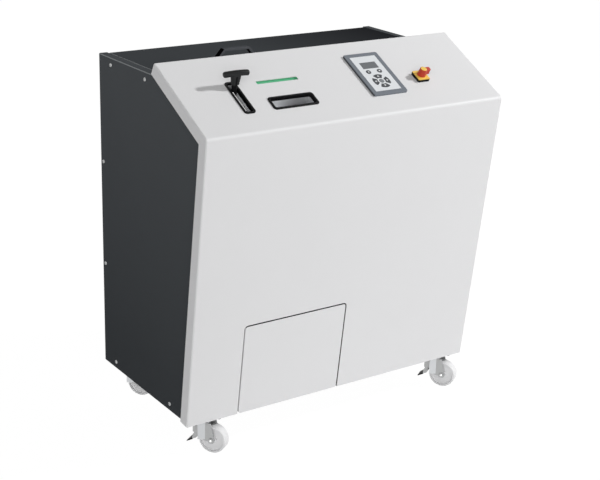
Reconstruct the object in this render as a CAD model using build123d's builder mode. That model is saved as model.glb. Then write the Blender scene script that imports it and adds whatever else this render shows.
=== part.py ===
from build123d import *

import os
from math import acos, atan2, cos, degrees, pi, radians, sin, sqrt, tan

os.makedirs("parts", exist_ok=True)

# Hard drive shredder: a sheet metal cabinet on casters with a sloped operating panel.
# Millimetres. X to the right seen from the front, Y to the rear, Z up.
# The origin is on the floor, under the middle of the cabinet.

# Cabinet outline
hood_width = 970.0
body_width = 940.0
cabinet_depth = 614.0
fold_height = 926.0
crest_height = 1066.0
crest_setback = 267.0
foot_height = 100.0
foot_setback = 95.0
body_top = 1026.0
body_bottom = 97.0

# Sheet metal
hood_sheet = 2.0
hood_flange = 35.0
hood_lip = 11.0
fold_radius = 10.0
hood_edge_radius = 4.0
body_sheet = 1.5
panel_return = 25.0
panel_overlap = 10.0
panel_edge_radius = 3.0
seat_gap = 0.3
run_gap = 0.05

# Welded frame
base_thickness = 4.0
base_margin = 4.0
tube = 30.0
front_post_setback = 47.0
front_post_top = 945.0
rail_height = 20.0
deck_height = 540.0
deck_rail_depth = 40.0

# Panel screws
screw_margin = 20.0
screw_shank = 3.0
screw_head = 5.6
screw_head_height = 3.2
screw_length = 10.0
top_screw_front = 76.0
top_screw_rear = 75.0
bottom_screw_front = 120.0
bottom_screw_rear = 77.0
rear_screw_heights = (410.0, 718.0)

# Top lid
lid_gap = 3.0
lid_depth = 12.0
lid_front_setback = 38.0
lid_rear_setback = 9.0
hinge_setback = 17.0
hinge_drop = 12.0
hinge_pin = 3.0
hinge_knuckle = 6.0
hinge_width = 30.0
hinge_ear = 6.0
hinge_spread = 600.0
handle_x = -177.5
handle_setback = 62.0
handle_length = 144.0
handle_top_length = 80.0
handle_height = 35.0
handle_width = 19.0
handle_thickness = 6.5

# Places on the sloped panel, as X and the distance down the slope from the crest
lever_x = -317.0
lever_slot_down = 169.0
lever_slot_width = 22.0
lever_slot_length = 112.0
bezel_rim = 6.0
bezel_corner = 9.0
opening_corner = 5.0
bezel_height = 3.0
feed_x = -173.0
feed_down = 206.0
feed_width = 125.0
feed_gap = 31.0
feed_rim = 8.5
feed_spigot = 6.0
feed_flare = 2.5
strip_x = -175.0
strip_down = 120.0
strip_width = 130.0
strip_height = 12.5
strip_margin = 5.0
strip_thickness = 4.0
strip_recess = 4.0
control_x = 132.0
control_down = 145.0
control_width = 115.0
control_length = 172.0
control_height = 6.0
control_box_depth = 28.0
control_wall = 11.0
label_width = 87.0
label_length = 145.0
label_recess = 1.2
label_thickness = 0.8
display_rise = 34.0
display_width = 53.0
display_length = 26.0
key_gap = 0.3
key_radius = 7.5
arrow_inner = 12.5
arrow_outer = 27.0
arrow_sweep = 66.0
key_rise = 0.7
key_height = 3.5
key_pocket = 3.0
key_pair_rise = 7.0
key_pair_spread = 37.4
key_pad_drop = 33.5
switch_x = 268.5
switch_down = 179.5
switch_size = 38.0
switch_base_height = 8.0
switch_plate_height = 2.0
switch_body_depth = 45.0
switch_stem = 4.0
knob_radius = 12.5
knob_top = 10.0
knob_height = 21.0
knob_wing = 22.0
knob_wing_width = 13.0
knob_wing_height = 16.0

# Feed lever and flap
pivot_down = 151.5
pivot_depth = 50.0
lever_lean = 16.3
lever_reach = 99.0
lever_swing = 52.0
lever_rod = 7.5
lever_hub = 14.0
lever_hub_width = 16.0
lever_shaft = 8.0
lever_wall = 1.5
guide_lip_depth = 15.0
guide_lip_gap = 1.0
grip_length = 75.0
grip_radius = 8.0
grip_arch = 2.0
grip_neck = (21.0, 14.0)
grip_flare = 30.0
grip_neck_length = 31.0
bracket_depth = 66.0
bracket_thickness = 6.0
bearing_boss = 14.0
bearing_boss_length = 6.0
throat_clearance = 1.0
throat_rise = 59.0
flap_thickness = 2.0
flap_sleeve = 12.0
flap_gap = 2.0

# Cutting unit
cutter_setback = 212.0
gear_module = 4.0
gear_teeth = 24
gear_width = 22.0
gear_backlash = 0.35
cutter_width = 160.0
cutter_count = 4
cutter_core = 48.0
cutter_tip = 60.0
cutter_hooks = 4
cutter_side_gap = 0.4
spacer_radius = 34.0
shaft_hex = 44.0
shaft_journal = 20.0
bearing_radius = 34.0
side_plate = 20.0
side_plate_gap = 2.0
side_plate_reach = 70.0
side_plate_half_height = 100.0
tie_bar = 10.0
tie_bar_inset = 14.0

# Drive and electrics
gearbox_gap = 11.0
gearbox_width = 120.0
gearbox_radius = 65.0
gearbox_offset = 130.0
gearbox_foot = 50.0
motor_length = 240.0
motor_radius = 60.0
motor_fin = 8.0
motor_fin_width = 3.0
motor_fin_count = 24
motor_cowl = 45.0
terminal_size = 70.0
terminal_height = 34.0
electrics_inset = 195.0
electrics_setback = 147.0
electrics_size = (250.0, 200.0, 350.0)
electrics_door_lip = 12.0

# Shred bin drawer
door_x = -155.0
door_width = 340.0
door_height = 276.0
door_gap = 4.0
door_corner = 12.0
door_depth = 16.0
grip_notch = 120.0
rib_length = 180.0
bin_width = 300.0
bin_top = 345.0
bin_rear_setback = 157.0
bin_sheet = 1.5
runner_width = 20.0
runner_height = 8.0
runner_spread = 240.0
chute_bottom = 352.0
chute_rise = 20.0

# Casters
caster_inset = 59.0
caster_front_setback = 40.0
caster_rear_setback = 60.0
caster_yaw = 34.0
caster_trail = 34.0
caster_plate = (95.0, 67.0, 3.0)
caster_holes = (75.0, 45.0)
caster_bolt = 4.0
bolt_hole_gap = 0.2
bolt_head = 6.5
bolt_head_height = 5.3
race_radius = 21.0
race_height = 6.0
king_pin = 5.0
wheel_diameter = 80.0
wheel_width = 30.0
wheel_recess = 5.0
wheel_hub = 13.0
wheel_rim = 6.0
axle_radius = 6.0
fork_sheet = 2.5
fork_gap = 2.0
fork_crown = 24.0
fork_crown_height = 5.0
fork_foot = 10.0
fork_leg = 35.0
fork_leg_lead = 37.0
fork_flange = 19.0
fork_flare = 8.0
fork_web_drop = 22.0
pedal_lead = 16.0
pedal_height = 62.0
pedal_pin = 3.0
pedal_reach = 31.0
pedal_drop = 30.0
pedal_thickness = 2.5
pedal_side_gap = 2.0

# Rear panel and cable inlet
vent_count = 9
vent_pitch = 22.0
vent_length = 150.0
vent_width = 6.0
vent_x = 220.0
vent_height = 760.0
gland_x = 90.0
gland_setback = 45.0
gland_bore = 5.5
gland_thread = 10.0
gland_flange = 14.0
gland_drop = 18.0
gland_nut = 6.0

# Outline points and directions, in the plane of Y and Z
front_y = -cabinet_depth / 2
rear_y = cabinet_depth / 2
slope_angle = atan2(crest_height - fold_height, crest_setback)
lean_angle = atan2(foot_setback, fold_height - foot_height)
crest = Vector(0, front_y + crest_setback, crest_height)
fold = Vector(0, front_y, fold_height)
foot = Vector(0, front_y + foot_setback, foot_height)
down_slope = Vector(0, -cos(slope_angle), -sin(slope_angle))
slope_out = Vector(0, -sin(slope_angle), cos(slope_angle))
down_front = Vector(0, sin(lean_angle), -cos(lean_angle))
front_out = Vector(0, -cos(lean_angle), -sin(lean_angle))
slope_axis = Axis(crest, slope_out)
front_axis = Axis(fold, front_out)
slope_plane = Plane(origin=crest, x_dir=(1, 0, 0), z_dir=slope_out)
front_plane = Plane(origin=fold, x_dir=(1, 0, 0), z_dir=front_out)
front_length = (foot - fold).length
base_bottom = foot_height
base_top = base_bottom + base_thickness
cutter_y = front_y + cutter_setback
cutter_height = deck_height + side_plate_half_height


def crest_point(inset, depth):
    """Point at the upper end of the hood, in from the end and below the slope's skin."""
    return crest + down_slope * inset - slope_out * depth


def fold_point(depth):
    """Corner of the hood's profile, at the same depth below the slope and the front."""
    return fold - (slope_out + front_out) * (depth / (1 + slope_out.dot(front_out)))


def foot_point(inset, depth):
    """Point at the lower end of the hood, up from the end and behind the front's skin."""
    return foot - down_front * inset - front_out * depth


def front_at(height, depth):
    """Y of the leaning front at a height, at a depth behind its skin."""
    return front_y + (fold_height - height) * tan(lean_angle) + depth / cos(lean_angle)


def slope_at(height, depth):
    """Y of the slope at a height, at a depth below its skin."""
    start = crest_point(0, depth)
    return start.Y - (start.Z - height) / tan(slope_angle)


def flat(points):
    """Y and Z of points, for a sketch in the plane of Y and Z."""
    return [(point.Y, point.Z) for point in points]


def save(piece, name):
    piece.part.label = name
    export_step(piece.part, f"parts/{name}.step")


# Front hood: one folded pan with a slope for the controls and a leaning front
def hood_block(inset, depth, foot_inset):
    """The hood's filled shape, inset from its skin, with its own inset at the foot."""
    outline = [
        crest_point(inset, inset),
        fold_point(inset),
        foot_point(foot_inset, inset),
        foot_point(foot_inset, depth),
        fold_point(depth),
        crest_point(inset, depth),
    ]
    half = hood_width / 2 - inset
    with BuildPart() as block:
        with BuildSketch(Plane.YZ.offset(-half)):
            with BuildLine():
                Polyline(*flat(outline), close=True)
            make_face()
        extrude(amount=2 * half)
        ridges = block.edges().filter_by(Axis.X)
        fillet(ridges.sort_by_distance(outline[1])[0], fold_radius - inset)
        ridges = block.edges().filter_by(Axis.X)
        fillet(ridges.sort_by_distance(outline[0])[0], hood_edge_radius - inset)

        def on_skin(edge):
            middle = edge.center()
            below_slope = (crest - middle).dot(slope_out)
            behind_front = (fold - middle).dot(front_out)
            near_skin = min(below_slope, behind_front) < inset + hood_flange / 4
            return near_skin and abs(abs(middle.X) - half) < run_gap

        fillet(block.edges().filter_by(on_skin), hood_edge_radius - inset)
    return block.part


hood_skin = hood_block(0, hood_flange, 0)
hood_hollow = hood_block(hood_sheet, hood_flange + hood_sheet, -hood_sheet)
lip_outline = [
    crest_point(0, hood_flange - hood_sheet),
    fold_point(hood_flange - hood_sheet),
    foot_point(0, hood_flange - hood_sheet),
    foot_point(0, hood_flange),
    fold_point(hood_flange),
    crest_point(0, hood_flange),
]
spigot_width = feed_width + 2 * (feed_rim - bezel_rim / 2)
spigot_gap = feed_gap + 2 * (feed_rim - bezel_rim / 2)
spigot_corner = opening_corner + bezel_rim / 2
control_hole = (control_width - 2 * control_wall, control_length - 2 * control_wall)
cut_depth = 2 * hood_flange

with BuildPart() as front_hood:
    add(hood_skin)
    add(hood_hollow, mode=Mode.SUBTRACT)
    lip_start = hood_width / 2 - hood_sheet / 2
    for side in (-1, 1):
        with BuildSketch(Plane.YZ.offset(side * lip_start)):
            with BuildLine():
                Polyline(*flat(lip_outline), close=True)
            make_face()
        extrude(amount=-side * (hood_lip + hood_sheet / 2))
    with BuildSketch(slope_plane.offset(hood_sheet)):
        with Locations((lever_x, -lever_slot_down)):
            RectangleRounded(lever_slot_width + bezel_rim, lever_slot_length + bezel_rim, spigot_corner)
        with Locations((feed_x, -feed_down)):
            Rectangle(spigot_width + 2 * seat_gap, spigot_gap + 2 * seat_gap)
        with Locations((strip_x, -strip_down)):
            RectangleRounded(strip_width, strip_height, strip_height / 6)
        with Locations((control_x, -control_down)):
            Rectangle(control_hole[0] + 2 * seat_gap, control_hole[1] + 2 * seat_gap)
        with Locations((switch_x, -switch_down)):
            Circle(switch_size / 3)
    extrude(amount=-3 * hood_sheet, mode=Mode.SUBTRACT)
    with BuildSketch(front_plane.offset(hood_sheet)):
        with Locations((door_x, -front_length)):
            RectangleRounded(door_width, 2 * door_height, door_corner)
    extrude(amount=-cut_depth, mode=Mode.SUBTRACT)
save(front_hood, "front_hood")


# Side panels: pans open at the bottom, held by screws at the sides and the rear
side_screws = [(rear_y - screw_margin, height) for height in rear_screw_heights]
side_screws += [
    (y, body_top - screw_margin) for y in (crest.Y + top_screw_front, rear_y - top_screw_rear)
]
side_screws += [
    (y, body_bottom + screw_margin) for y in (foot.Y + bottom_screw_front, rear_y - bottom_screw_rear)
]
panel_face = body_width / 2
panel_inside = panel_face - body_sheet
panel_rear = rear_y - body_sheet - seat_gap
post_rear = panel_rear - body_sheet - seat_gap
screw_hole = screw_shank + bolt_hole_gap
post_inner = panel_inside - tube
post_x = panel_inside - tube / 2
rear_half = panel_face - base_margin
rear_bottom = base_bottom + body_sheet
rear_top = body_top - lid_gap
rear_mid = (rear_bottom + rear_top) / 2
rear_plane = Plane(origin=(0, rear_y, 0), x_dir=(-1, 0, 0), z_dir=(0, 1, 0))
rear_screws = [
    (side * post_x, height)
    for side in (-1, 1)
    for height in (rear_bottom + 2 * screw_margin, rear_mid, rear_top - 2 * screw_margin)
]


def panel_outline(inset, bottom_inset):
    """Outline of a side panel, in from its edges, as points in the plane of Y and Z."""
    depth = hood_flange - panel_overlap + inset
    top = body_top - inset
    bottom = body_bottom + bottom_inset
    rear = panel_rear - inset
    corner = fold_point(depth)
    return [
        (front_at(bottom, depth), bottom),
        (rear, bottom),
        (rear, top),
        (slope_at(top, depth), top),
        (corner.Y, corner.Z),
    ]


with BuildPart() as side_panel_right:
    with BuildSketch(Plane.YZ.offset(panel_face - panel_return)):
        with BuildLine():
            Polyline(*panel_outline(0, 0), close=True)
        make_face()
    extrude(amount=panel_return)
    rounded = side_panel_right.faces().sort_by(Axis.X)[-1].edges().sort_by(Axis.Z)[1:]
    fillet(rounded, panel_edge_radius)
    with BuildSketch(Plane.YZ.offset(panel_face - panel_return)):
        with BuildLine():
            Polyline(*panel_outline(body_sheet, -body_sheet), close=True)
        make_face()
    extrude(amount=panel_return - body_sheet, mode=Mode.SUBTRACT)
    with Locations((panel_inside - (panel_return - body_sheet) / 2, foot.Y, body_bottom)):
        Box(
            panel_return - body_sheet,
            4 * hood_flange,
            2 * (base_top + door_gap - body_bottom),
            mode=Mode.SUBTRACT,
        )
    with BuildSketch(Plane.YZ.offset(panel_inside - body_sheet)):
        with Locations(*side_screws):
            Circle(screw_hole)
    extrude(amount=panel_return, mode=Mode.SUBTRACT)
    with BuildSketch(rear_plane):
        with Locations(*rear_screws):
            Circle(screw_hole)
    extrude(amount=-screw_length, mode=Mode.SUBTRACT)
save(side_panel_right, "side_panel_right")

with BuildPart() as side_panel_left:
    add(mirror(side_panel_right.part, about=Plane.YZ, mode=Mode.PRIVATE))
save(side_panel_left, "side_panel_left")

# Welded frame: four posts, side rails, deck rails, and cross rails under hood and lid
front_post_y = foot.Y + front_post_setback + tube / 2
rear_post_y = post_rear - tube / 2
lid_front = front_y + crest_setback + lid_front_setback
lid_rear = rear_y - lid_rear_setback
lid_bottom = body_top - lid_depth
rail_top = lid_bottom - seat_gap
hood_rest_y = crest_point(0, hood_flange).Y + seat_gap
hood_rest_depth = lid_front - lid_gap - hood_rest_y
hood_rest_top = crest_point(0, hood_flange).Z + hood_sheet
hinge_y = rear_y - hinge_setback
hinge_z = body_top - hinge_drop
hinge_rail_rear = hinge_y - hinge_knuckle - hinge_pin
lid_sweep = sqrt((lid_rear - hinge_y) ** 2 + (hinge_z - lid_bottom) ** 2)
rear_post_top = min(rail_top, hinge_z - lid_sweep - lid_gap)
deck_front_y = cutter_y - gear_module * gear_teeth / 2 - deck_rail_depth / 2
deck_rear_y = cutter_y + gear_module * gear_teeth / 2 + deck_rail_depth / 2
side_run = rear_post_y - front_post_y - tube
side_mid = (rear_post_y + front_post_y) / 2
rear_inner = rear_post_y - tube / 2

with BuildPart() as frame:
    for side in (-1, 1):
        with Locations((side * post_x, front_post_y, (base_top + front_post_top) / 2)):
            Box(tube, tube, front_post_top - base_top)
        with Locations((side * post_x, rear_post_y, (base_top + rear_post_top) / 2)):
            Box(tube, tube, rear_post_top - base_top)
        with Locations((side * post_x, side_mid, base_top + tube / 2)):
            Box(tube, side_run, tube)
        with Locations((side * post_x, side_mid, deck_height - tube / 2)):
            Box(tube, side_run, tube)
        with Locations((side * post_x, (hood_rest_y + rear_inner) / 2, rail_top - tube / 2)):
            Box(tube, rear_inner - hood_rest_y, tube)
        with Locations((side * post_x, (front_post_y + hood_rest_y) / 2, front_post_top - tube / 2)):
            Box(tube, hood_rest_y - front_post_y + tube, tube)
        with Locations((side * post_x, hood_rest_y + tube / 2, (front_post_top + rail_top) / 2 - tube / 2)):
            Box(tube, tube, rail_top - front_post_top + tube)
    for rail_y in (deck_front_y, deck_rear_y):
        with Locations((0, rail_y, deck_height - tube / 2)):
            Box(2 * post_inner, deck_rail_depth, tube)
    with Locations((0, hood_rest_y + hood_rest_depth / 2, (hood_rest_top + rail_top - tube) / 2)):
        Box(2 * post_inner, hood_rest_depth, hood_rest_top - rail_top + tube)
    with Locations((0, (rear_inner + hinge_rail_rear) / 2, rail_top - tube)):
        Box(2 * post_inner, hinge_rail_rear - rear_inner, tube)
    for side in (-1, 1):
        with BuildSketch(Plane.YZ.offset(side * panel_inside)):
            with Locations(*side_screws):
                Circle(screw_hole)
        extrude(amount=-side * screw_length, mode=Mode.SUBTRACT)
    with BuildSketch(rear_plane):
        with Locations(*rear_screws):
            Circle(screw_hole)
    extrude(amount=-screw_length - seat_gap, mode=Mode.SUBTRACT)
save(frame, "frame")

# Base plate with the caster bolt holes and the cable gland hole
base_front = front_at(base_bottom, hood_sheet) + seat_gap
door_notch = front_at(base_top, door_depth) + door_gap
base_rear = post_rear
base_half = panel_inside - base_margin
caster_x = panel_face - caster_inset
caster_front_y = foot.Y + caster_front_setback
caster_rear_y = rear_y - caster_rear_setback
caster_places = {
    "front_left": (-caster_x, caster_front_y),
    "front_right": (caster_x, caster_front_y),
    "rear_left": (-caster_x, caster_rear_y),
    "rear_right": (caster_x, caster_rear_y),
}
bolt_places = [
    (x + across * caster_holes[0] / 2, y + along * caster_holes[1] / 2)
    for x, y in caster_places.values()
    for across in (-1, 1)
    for along in (-1, 1)
]
gland_y = rear_y - gland_setback

with BuildPart() as base_plate:
    with Locations((0, (base_front + base_rear) / 2, base_bottom + base_thickness / 2)):
        Box(2 * base_half, base_rear - base_front, base_thickness)
    with BuildSketch(Plane.XY.offset(base_bottom)):
        with Locations(*bolt_places):
            Circle(caster_bolt + bolt_hole_gap)
        with Locations((gland_x, gland_y)):
            Circle(gland_thread + bolt_hole_gap)
        with Locations((door_x, base_front)):
            Rectangle(door_width, 2 * (door_notch - base_front))
    extrude(amount=base_thickness, mode=Mode.SUBTRACT)
save(base_plate, "base_plate")

# Rear panel: a flat sheet over the side panels' returns with two columns of vents
with BuildPart() as rear_panel:
    with BuildSketch(rear_plane):
        with Locations((0, rear_mid)):
            Rectangle(2 * rear_half, rear_top - rear_bottom)
        for column in (-vent_x, vent_x):
            with Locations((column, vent_height)):
                with GridLocations(1, vent_pitch, 1, vent_count):
                    SlotOverall(vent_length, vent_width, mode=Mode.SUBTRACT)
        with Locations(*rear_screws):
            Circle(screw_hole, mode=Mode.SUBTRACT)
    extrude(amount=-body_sheet)
save(rear_panel, "rear_panel")

# Panel screws: button heads on the side and rear panels
with BuildPart() as panel_screws:
    for side in (-1, 1):
        facing = Plane(origin=(side * panel_face, 0, 0), x_dir=(0, 1, 0), z_dir=(side, 0, 0))
        spots = [(y, side * z) for y, z in side_screws]
        with BuildSketch(facing):
            with Locations(*spots):
                Circle(screw_head)
        extrude(amount=screw_head_height, taper=25)
        with BuildSketch(facing):
            with Locations(*spots):
                Circle(screw_shank)
        extrude(amount=-screw_length)
    with BuildSketch(rear_plane):
        with Locations(*rear_screws):
            Circle(screw_head)
    extrude(amount=body_sheet)
    with BuildSketch(rear_plane):
        with Locations(*rear_screws):
            Circle(screw_shank)
    extrude(amount=-screw_length)
save(panel_screws, "panel_screws")

# Top lid: a pan hinged along its rear edge, with lugs for the hinge pins
lid_half = panel_face - panel_return - lid_gap
lid_length = lid_rear - lid_front
lid_middle = (lid_front + lid_rear) / 2
hinge_places = (-hinge_spread / 2, hinge_spread / 2)
ear_span = hinge_width + 2 * seat_gap + 2 * hinge_ear

with BuildPart() as top_lid:
    with Locations((0, lid_middle, body_top - lid_depth / 2)):
        Box(2 * lid_half, lid_length, lid_depth)
    fillet(top_lid.faces().sort_by(Axis.Z)[-1].edges(), panel_edge_radius)
    with Locations((0, lid_middle, body_top - lid_depth / 2 - body_sheet)):
        Box(2 * (lid_half - body_sheet), lid_length - 2 * body_sheet, lid_depth, mode=Mode.SUBTRACT)
    for x in hinge_places:
        with Locations((x, lid_rear, lid_bottom)):
            Box(ear_span + lid_depth, 4 * body_sheet, 2 * (lid_depth - 2 * body_sheet), mode=Mode.SUBTRACT)
        with BuildSketch(Plane.YZ.offset(x - hinge_width / 2)):
            with Locations((hinge_y, hinge_z)):
                Circle(hinge_knuckle)
            with Locations((hinge_y, (hinge_z + body_top - body_sheet) / 2)):
                Rectangle(2 * hinge_knuckle, body_top - body_sheet - hinge_z)
        extrude(amount=hinge_width)
        with Locations((x, hinge_y, hinge_z)):
            Cylinder(hinge_pin + run_gap, 2 * hinge_width, rotation=(0, 90, 0), mode=Mode.SUBTRACT)
save(top_lid, "top_lid")

# Lid hinges: ears welded to the rear cross rail, each pair carrying a pin
with BuildPart() as lid_hinges:
    for x in hinge_places:
        for side in (-1, 1):
            ear_x = x + side * (hinge_width / 2 + seat_gap + hinge_ear / 2)
            ear_rear = hinge_y + hinge_knuckle
            ear_top = hinge_z + hinge_knuckle
            with Locations((ear_x, (hinge_rail_rear + ear_rear) / 2, (ear_top + rail_top - tube) / 2)):
                Box(hinge_ear, ear_rear - hinge_rail_rear, ear_top - rail_top + tube)
        with Locations((x, hinge_y, hinge_z)):
            Cylinder(hinge_pin, ear_span, rotation=(0, 90, 0))
save(lid_hinges, "lid_hinges")

# Lid handle: a bow with slanting legs
handle_y = lid_front + handle_setback
handle_foot = handle_length / 2
handle_bar = handle_top_length / 2
leg_run = handle_foot - handle_bar
leg_foot = handle_thickness * sqrt(leg_run ** 2 + handle_height ** 2) / handle_height
bow_gap = handle_height - handle_thickness
inner_foot = handle_foot - leg_foot
inner_bar = inner_foot - leg_run * bow_gap / handle_height
handle_plane = Plane(origin=(handle_x, handle_y, body_top), x_dir=(1, 0, 0), z_dir=(0, -1, 0))

with BuildPart() as lid_handle:
    with BuildSketch(handle_plane):
        with BuildLine():
            Polyline(
                (-handle_foot, 0),
                (-handle_bar, handle_height),
                (handle_bar, handle_height),
                (handle_foot, 0),
                (inner_foot, 0),
                (inner_bar, bow_gap),
                (-inner_bar, bow_gap),
                (-inner_foot, 0),
                close=True,
            )
        make_face()
    extrude(amount=handle_width / 2, both=True)
    crown = lid_handle.faces().sort_by(Axis.Z)[-1].edges()
    fillet(crown, handle_thickness / 3)
save(lid_handle, "lid_handle")

# Lever slot bezel
with BuildPart() as lever_bezel:
    with BuildSketch(slope_plane):
        with Locations((lever_x, -lever_slot_down)):
            RectangleRounded(
                lever_slot_width + 2 * bezel_rim, lever_slot_length + 2 * bezel_rim, bezel_corner
            )
    extrude(amount=bezel_height)
    with BuildSketch(slope_plane):
        with Locations((lever_x, -lever_slot_down)):
            RectangleRounded(
                lever_slot_width + bezel_rim - 2 * seat_gap,
                lever_slot_length + bezel_rim - 2 * seat_gap,
                spigot_corner - seat_gap,
            )
    extrude(amount=-2 * hood_sheet)
    with BuildSketch(slope_plane.offset(bezel_height)):
        with Locations((lever_x, -lever_slot_down)):
            RectangleRounded(lever_slot_width, lever_slot_length, opening_corner)
    extrude(amount=-cut_depth, mode=Mode.SUBTRACT)
    fillet(lever_bezel.faces().sort_by(slope_axis)[-1].edges(), bezel_height / 2)
save(lever_bezel, "lever_bezel")

# Feed bezel: a rounded rim round the opening, with walls that flare outwards
with BuildPart() as feed_bezel:
    with BuildSketch(slope_plane):
        with Locations((feed_x, -feed_down)):
            RectangleRounded(feed_width + 2 * feed_rim, feed_gap + 2 * feed_rim, bezel_corner)
    extrude(amount=bezel_height)
    fillet(feed_bezel.faces().sort_by(slope_axis)[-1].edges(), bezel_height / 2)
    with BuildSketch(slope_plane):
        with Locations((feed_x, -feed_down)):
            Rectangle(spigot_width, spigot_gap)
    extrude(amount=-feed_spigot)
    with BuildSketch(slope_plane.offset(-feed_spigot)):
        with Locations((feed_x, -feed_down)):
            RectangleRounded(feed_width, feed_gap, opening_corner)
    with BuildSketch(slope_plane.offset(bezel_height)):
        with Locations((feed_x, -feed_down)):
            RectangleRounded(feed_width + 2 * feed_flare, feed_gap + 2 * feed_flare, opening_corner)
    loft(mode=Mode.SUBTRACT)
save(feed_bezel, "feed_bezel")

# Feed throat: a straight duct square to the slope, with a window for the flap
throat_width = feed_width + 2 * throat_clearance
throat_gap = feed_gap + 4 * throat_clearance
throat_top = feed_spigot + seat_gap
throat_x_wall = throat_width / 2 + body_sheet
flap_tip = feed_down + throat_gap / 2 - flap_gap
flap_length = flap_tip - pivot_down
window_top = pivot_depth - 3 * flap_thickness
window_bottom = pivot_depth + flap_length * sin(radians(lever_swing)) + 3 * flap_thickness
throat_bottom = cutter_height + cutter_tip + throat_rise
throat_length = (crest_point(feed_down, throat_top).Z - throat_bottom) / cos(slope_angle)

with BuildPart() as feed_throat:
    with BuildSketch(slope_plane.offset(-throat_top)):
        with Locations((feed_x, -feed_down)):
            Rectangle(throat_width + 2 * body_sheet, throat_gap + 2 * body_sheet)
            Rectangle(throat_width, throat_gap, mode=Mode.SUBTRACT)
    extrude(amount=-throat_length)
    with BuildSketch(slope_plane.offset(-window_top)):
        with Locations((feed_x, -feed_down + throat_gap / 2)):
            Rectangle(throat_width, throat_gap / 2)
    extrude(amount=window_top - window_bottom, mode=Mode.SUBTRACT)
save(feed_throat, "feed_throat")

# Signal strip: a shallow tray behind its slot
with BuildPart() as signal_strip:
    with BuildSketch(slope_plane.offset(-hood_sheet)):
        with Locations((strip_x, -strip_down)):
            Rectangle(strip_width + 2 * strip_margin, strip_height + 2 * strip_margin)
    extrude(amount=-strip_recess - strip_thickness)
    with BuildSketch(slope_plane.offset(-hood_sheet)):
        with Locations((strip_x, -strip_down)):
            Rectangle(strip_width, strip_height)
    extrude(amount=-strip_recess, mode=Mode.SUBTRACT)
save(signal_strip, "signal_strip")

# Lever brackets: a guide with lips under the slot and two bearings, and a bracket past the flap
pivot = crest_point(pivot_down, pivot_depth)
pivot_side = Plane(origin=pivot, x_dir=down_slope, z_dir=(1, 0, 0))
guide_half = lever_slot_width / 2 + bezel_rim / 2
guide_length = lever_slot_length + bezel_rim + 2 * lever_wall
flap_half = throat_width / 2 - flap_gap
bracket_x = feed_x + flap_half + 2 * flap_gap
guide_x = (lever_x - guide_half - lever_wall, lever_x + guide_half)

with BuildPart() as lever_brackets:
    for x in guide_x:
        with BuildSketch(Plane(origin=crest, x_dir=down_slope, z_dir=(1, 0, 0)).offset(x)):
            with Locations((lever_slot_down, (hood_sheet + bracket_depth) / 2)):
                Rectangle(guide_length, bracket_depth - hood_sheet)
        extrude(amount=lever_wall)
        boss_from = x - bearing_boss_length if x == guide_x[0] else x
        with BuildSketch(pivot_side.offset(boss_from)):
            Circle(bearing_boss)
        extrude(amount=bearing_boss_length + lever_wall)
    for down in (lever_slot_down - guide_length / 2, lever_slot_down + guide_length / 2 - lever_wall):
        with BuildSketch(Plane(origin=crest, x_dir=down_slope, z_dir=(1, 0, 0)).offset(guide_x[0])):
            with Locations((down + lever_wall / 2, (hood_sheet + bracket_depth / 2) / 2)):
                Rectangle(lever_wall, bracket_depth / 2 - hood_sheet)
        extrude(amount=2 * guide_half + 2 * lever_wall)
    with BuildSketch(slope_plane.offset(-guide_lip_depth)):
        with Locations((lever_x, -lever_slot_down)):
            Rectangle(2 * guide_half, guide_length)
            Rectangle(2 * (lever_rod + guide_lip_gap), guide_length, mode=Mode.SUBTRACT)
    extrude(amount=-lever_wall)
    with BuildSketch(Plane(origin=crest, x_dir=down_slope, z_dir=(1, 0, 0)).offset(bracket_x)):
        with Locations((pivot_down, (hood_sheet + bracket_depth) / 2)):
            Rectangle(2 * bearing_boss, bracket_depth - hood_sheet)
    extrude(amount=bracket_thickness)
    with BuildSketch(slope_plane.offset(-hood_sheet)):
        with Locations((bracket_x + 2 * bracket_thickness, -pivot_down)):
            Rectangle(4 * bracket_thickness, 2 * bearing_boss)
    extrude(amount=-2 * lever_wall)
    with BuildSketch(pivot_side.offset(guide_x[0] - cut_depth)):
        Circle(lever_shaft + run_gap)
    extrude(amount=hood_width / 2, mode=Mode.SUBTRACT)
save(lever_brackets, "lever_brackets")

# Feed lever: rod, hub and shaft welded together, leaning up the slope at rest
lever_out = slope_out * cos(radians(lever_lean)) - down_slope * sin(radians(lever_lean))
lever_plane = Plane(origin=pivot + Vector(lever_x, 0, 0), x_dir=(1, 0, 0), z_dir=lever_out)
shaft_left = guide_x[0] - bearing_boss_length - 2 * flap_gap
shaft_right = bracket_x + bracket_thickness + 2 * flap_gap

with BuildPart() as feed_lever:
    with BuildSketch(pivot_side.offset(shaft_left)):
        Circle(lever_shaft)
    extrude(amount=shaft_right - shaft_left)
    with BuildSketch(pivot_side.offset(lever_x - lever_hub_width / 2)):
        Circle(lever_hub)
    extrude(amount=lever_hub_width)
    with BuildSketch(lever_plane):
        Circle(lever_rod)
    extrude(amount=lever_reach - grip_radius)
save(feed_lever, "feed_lever")

# T-grip: an arched bar across the rod with a flared neck
grip_start = lever_reach - grip_neck_length
bar_plane = Plane(origin=lever_plane.origin + lever_out * lever_reach, x_dir=(1, 0, 0), z_dir=lever_plane.y_dir)
half_grip = grip_length / 2

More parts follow.
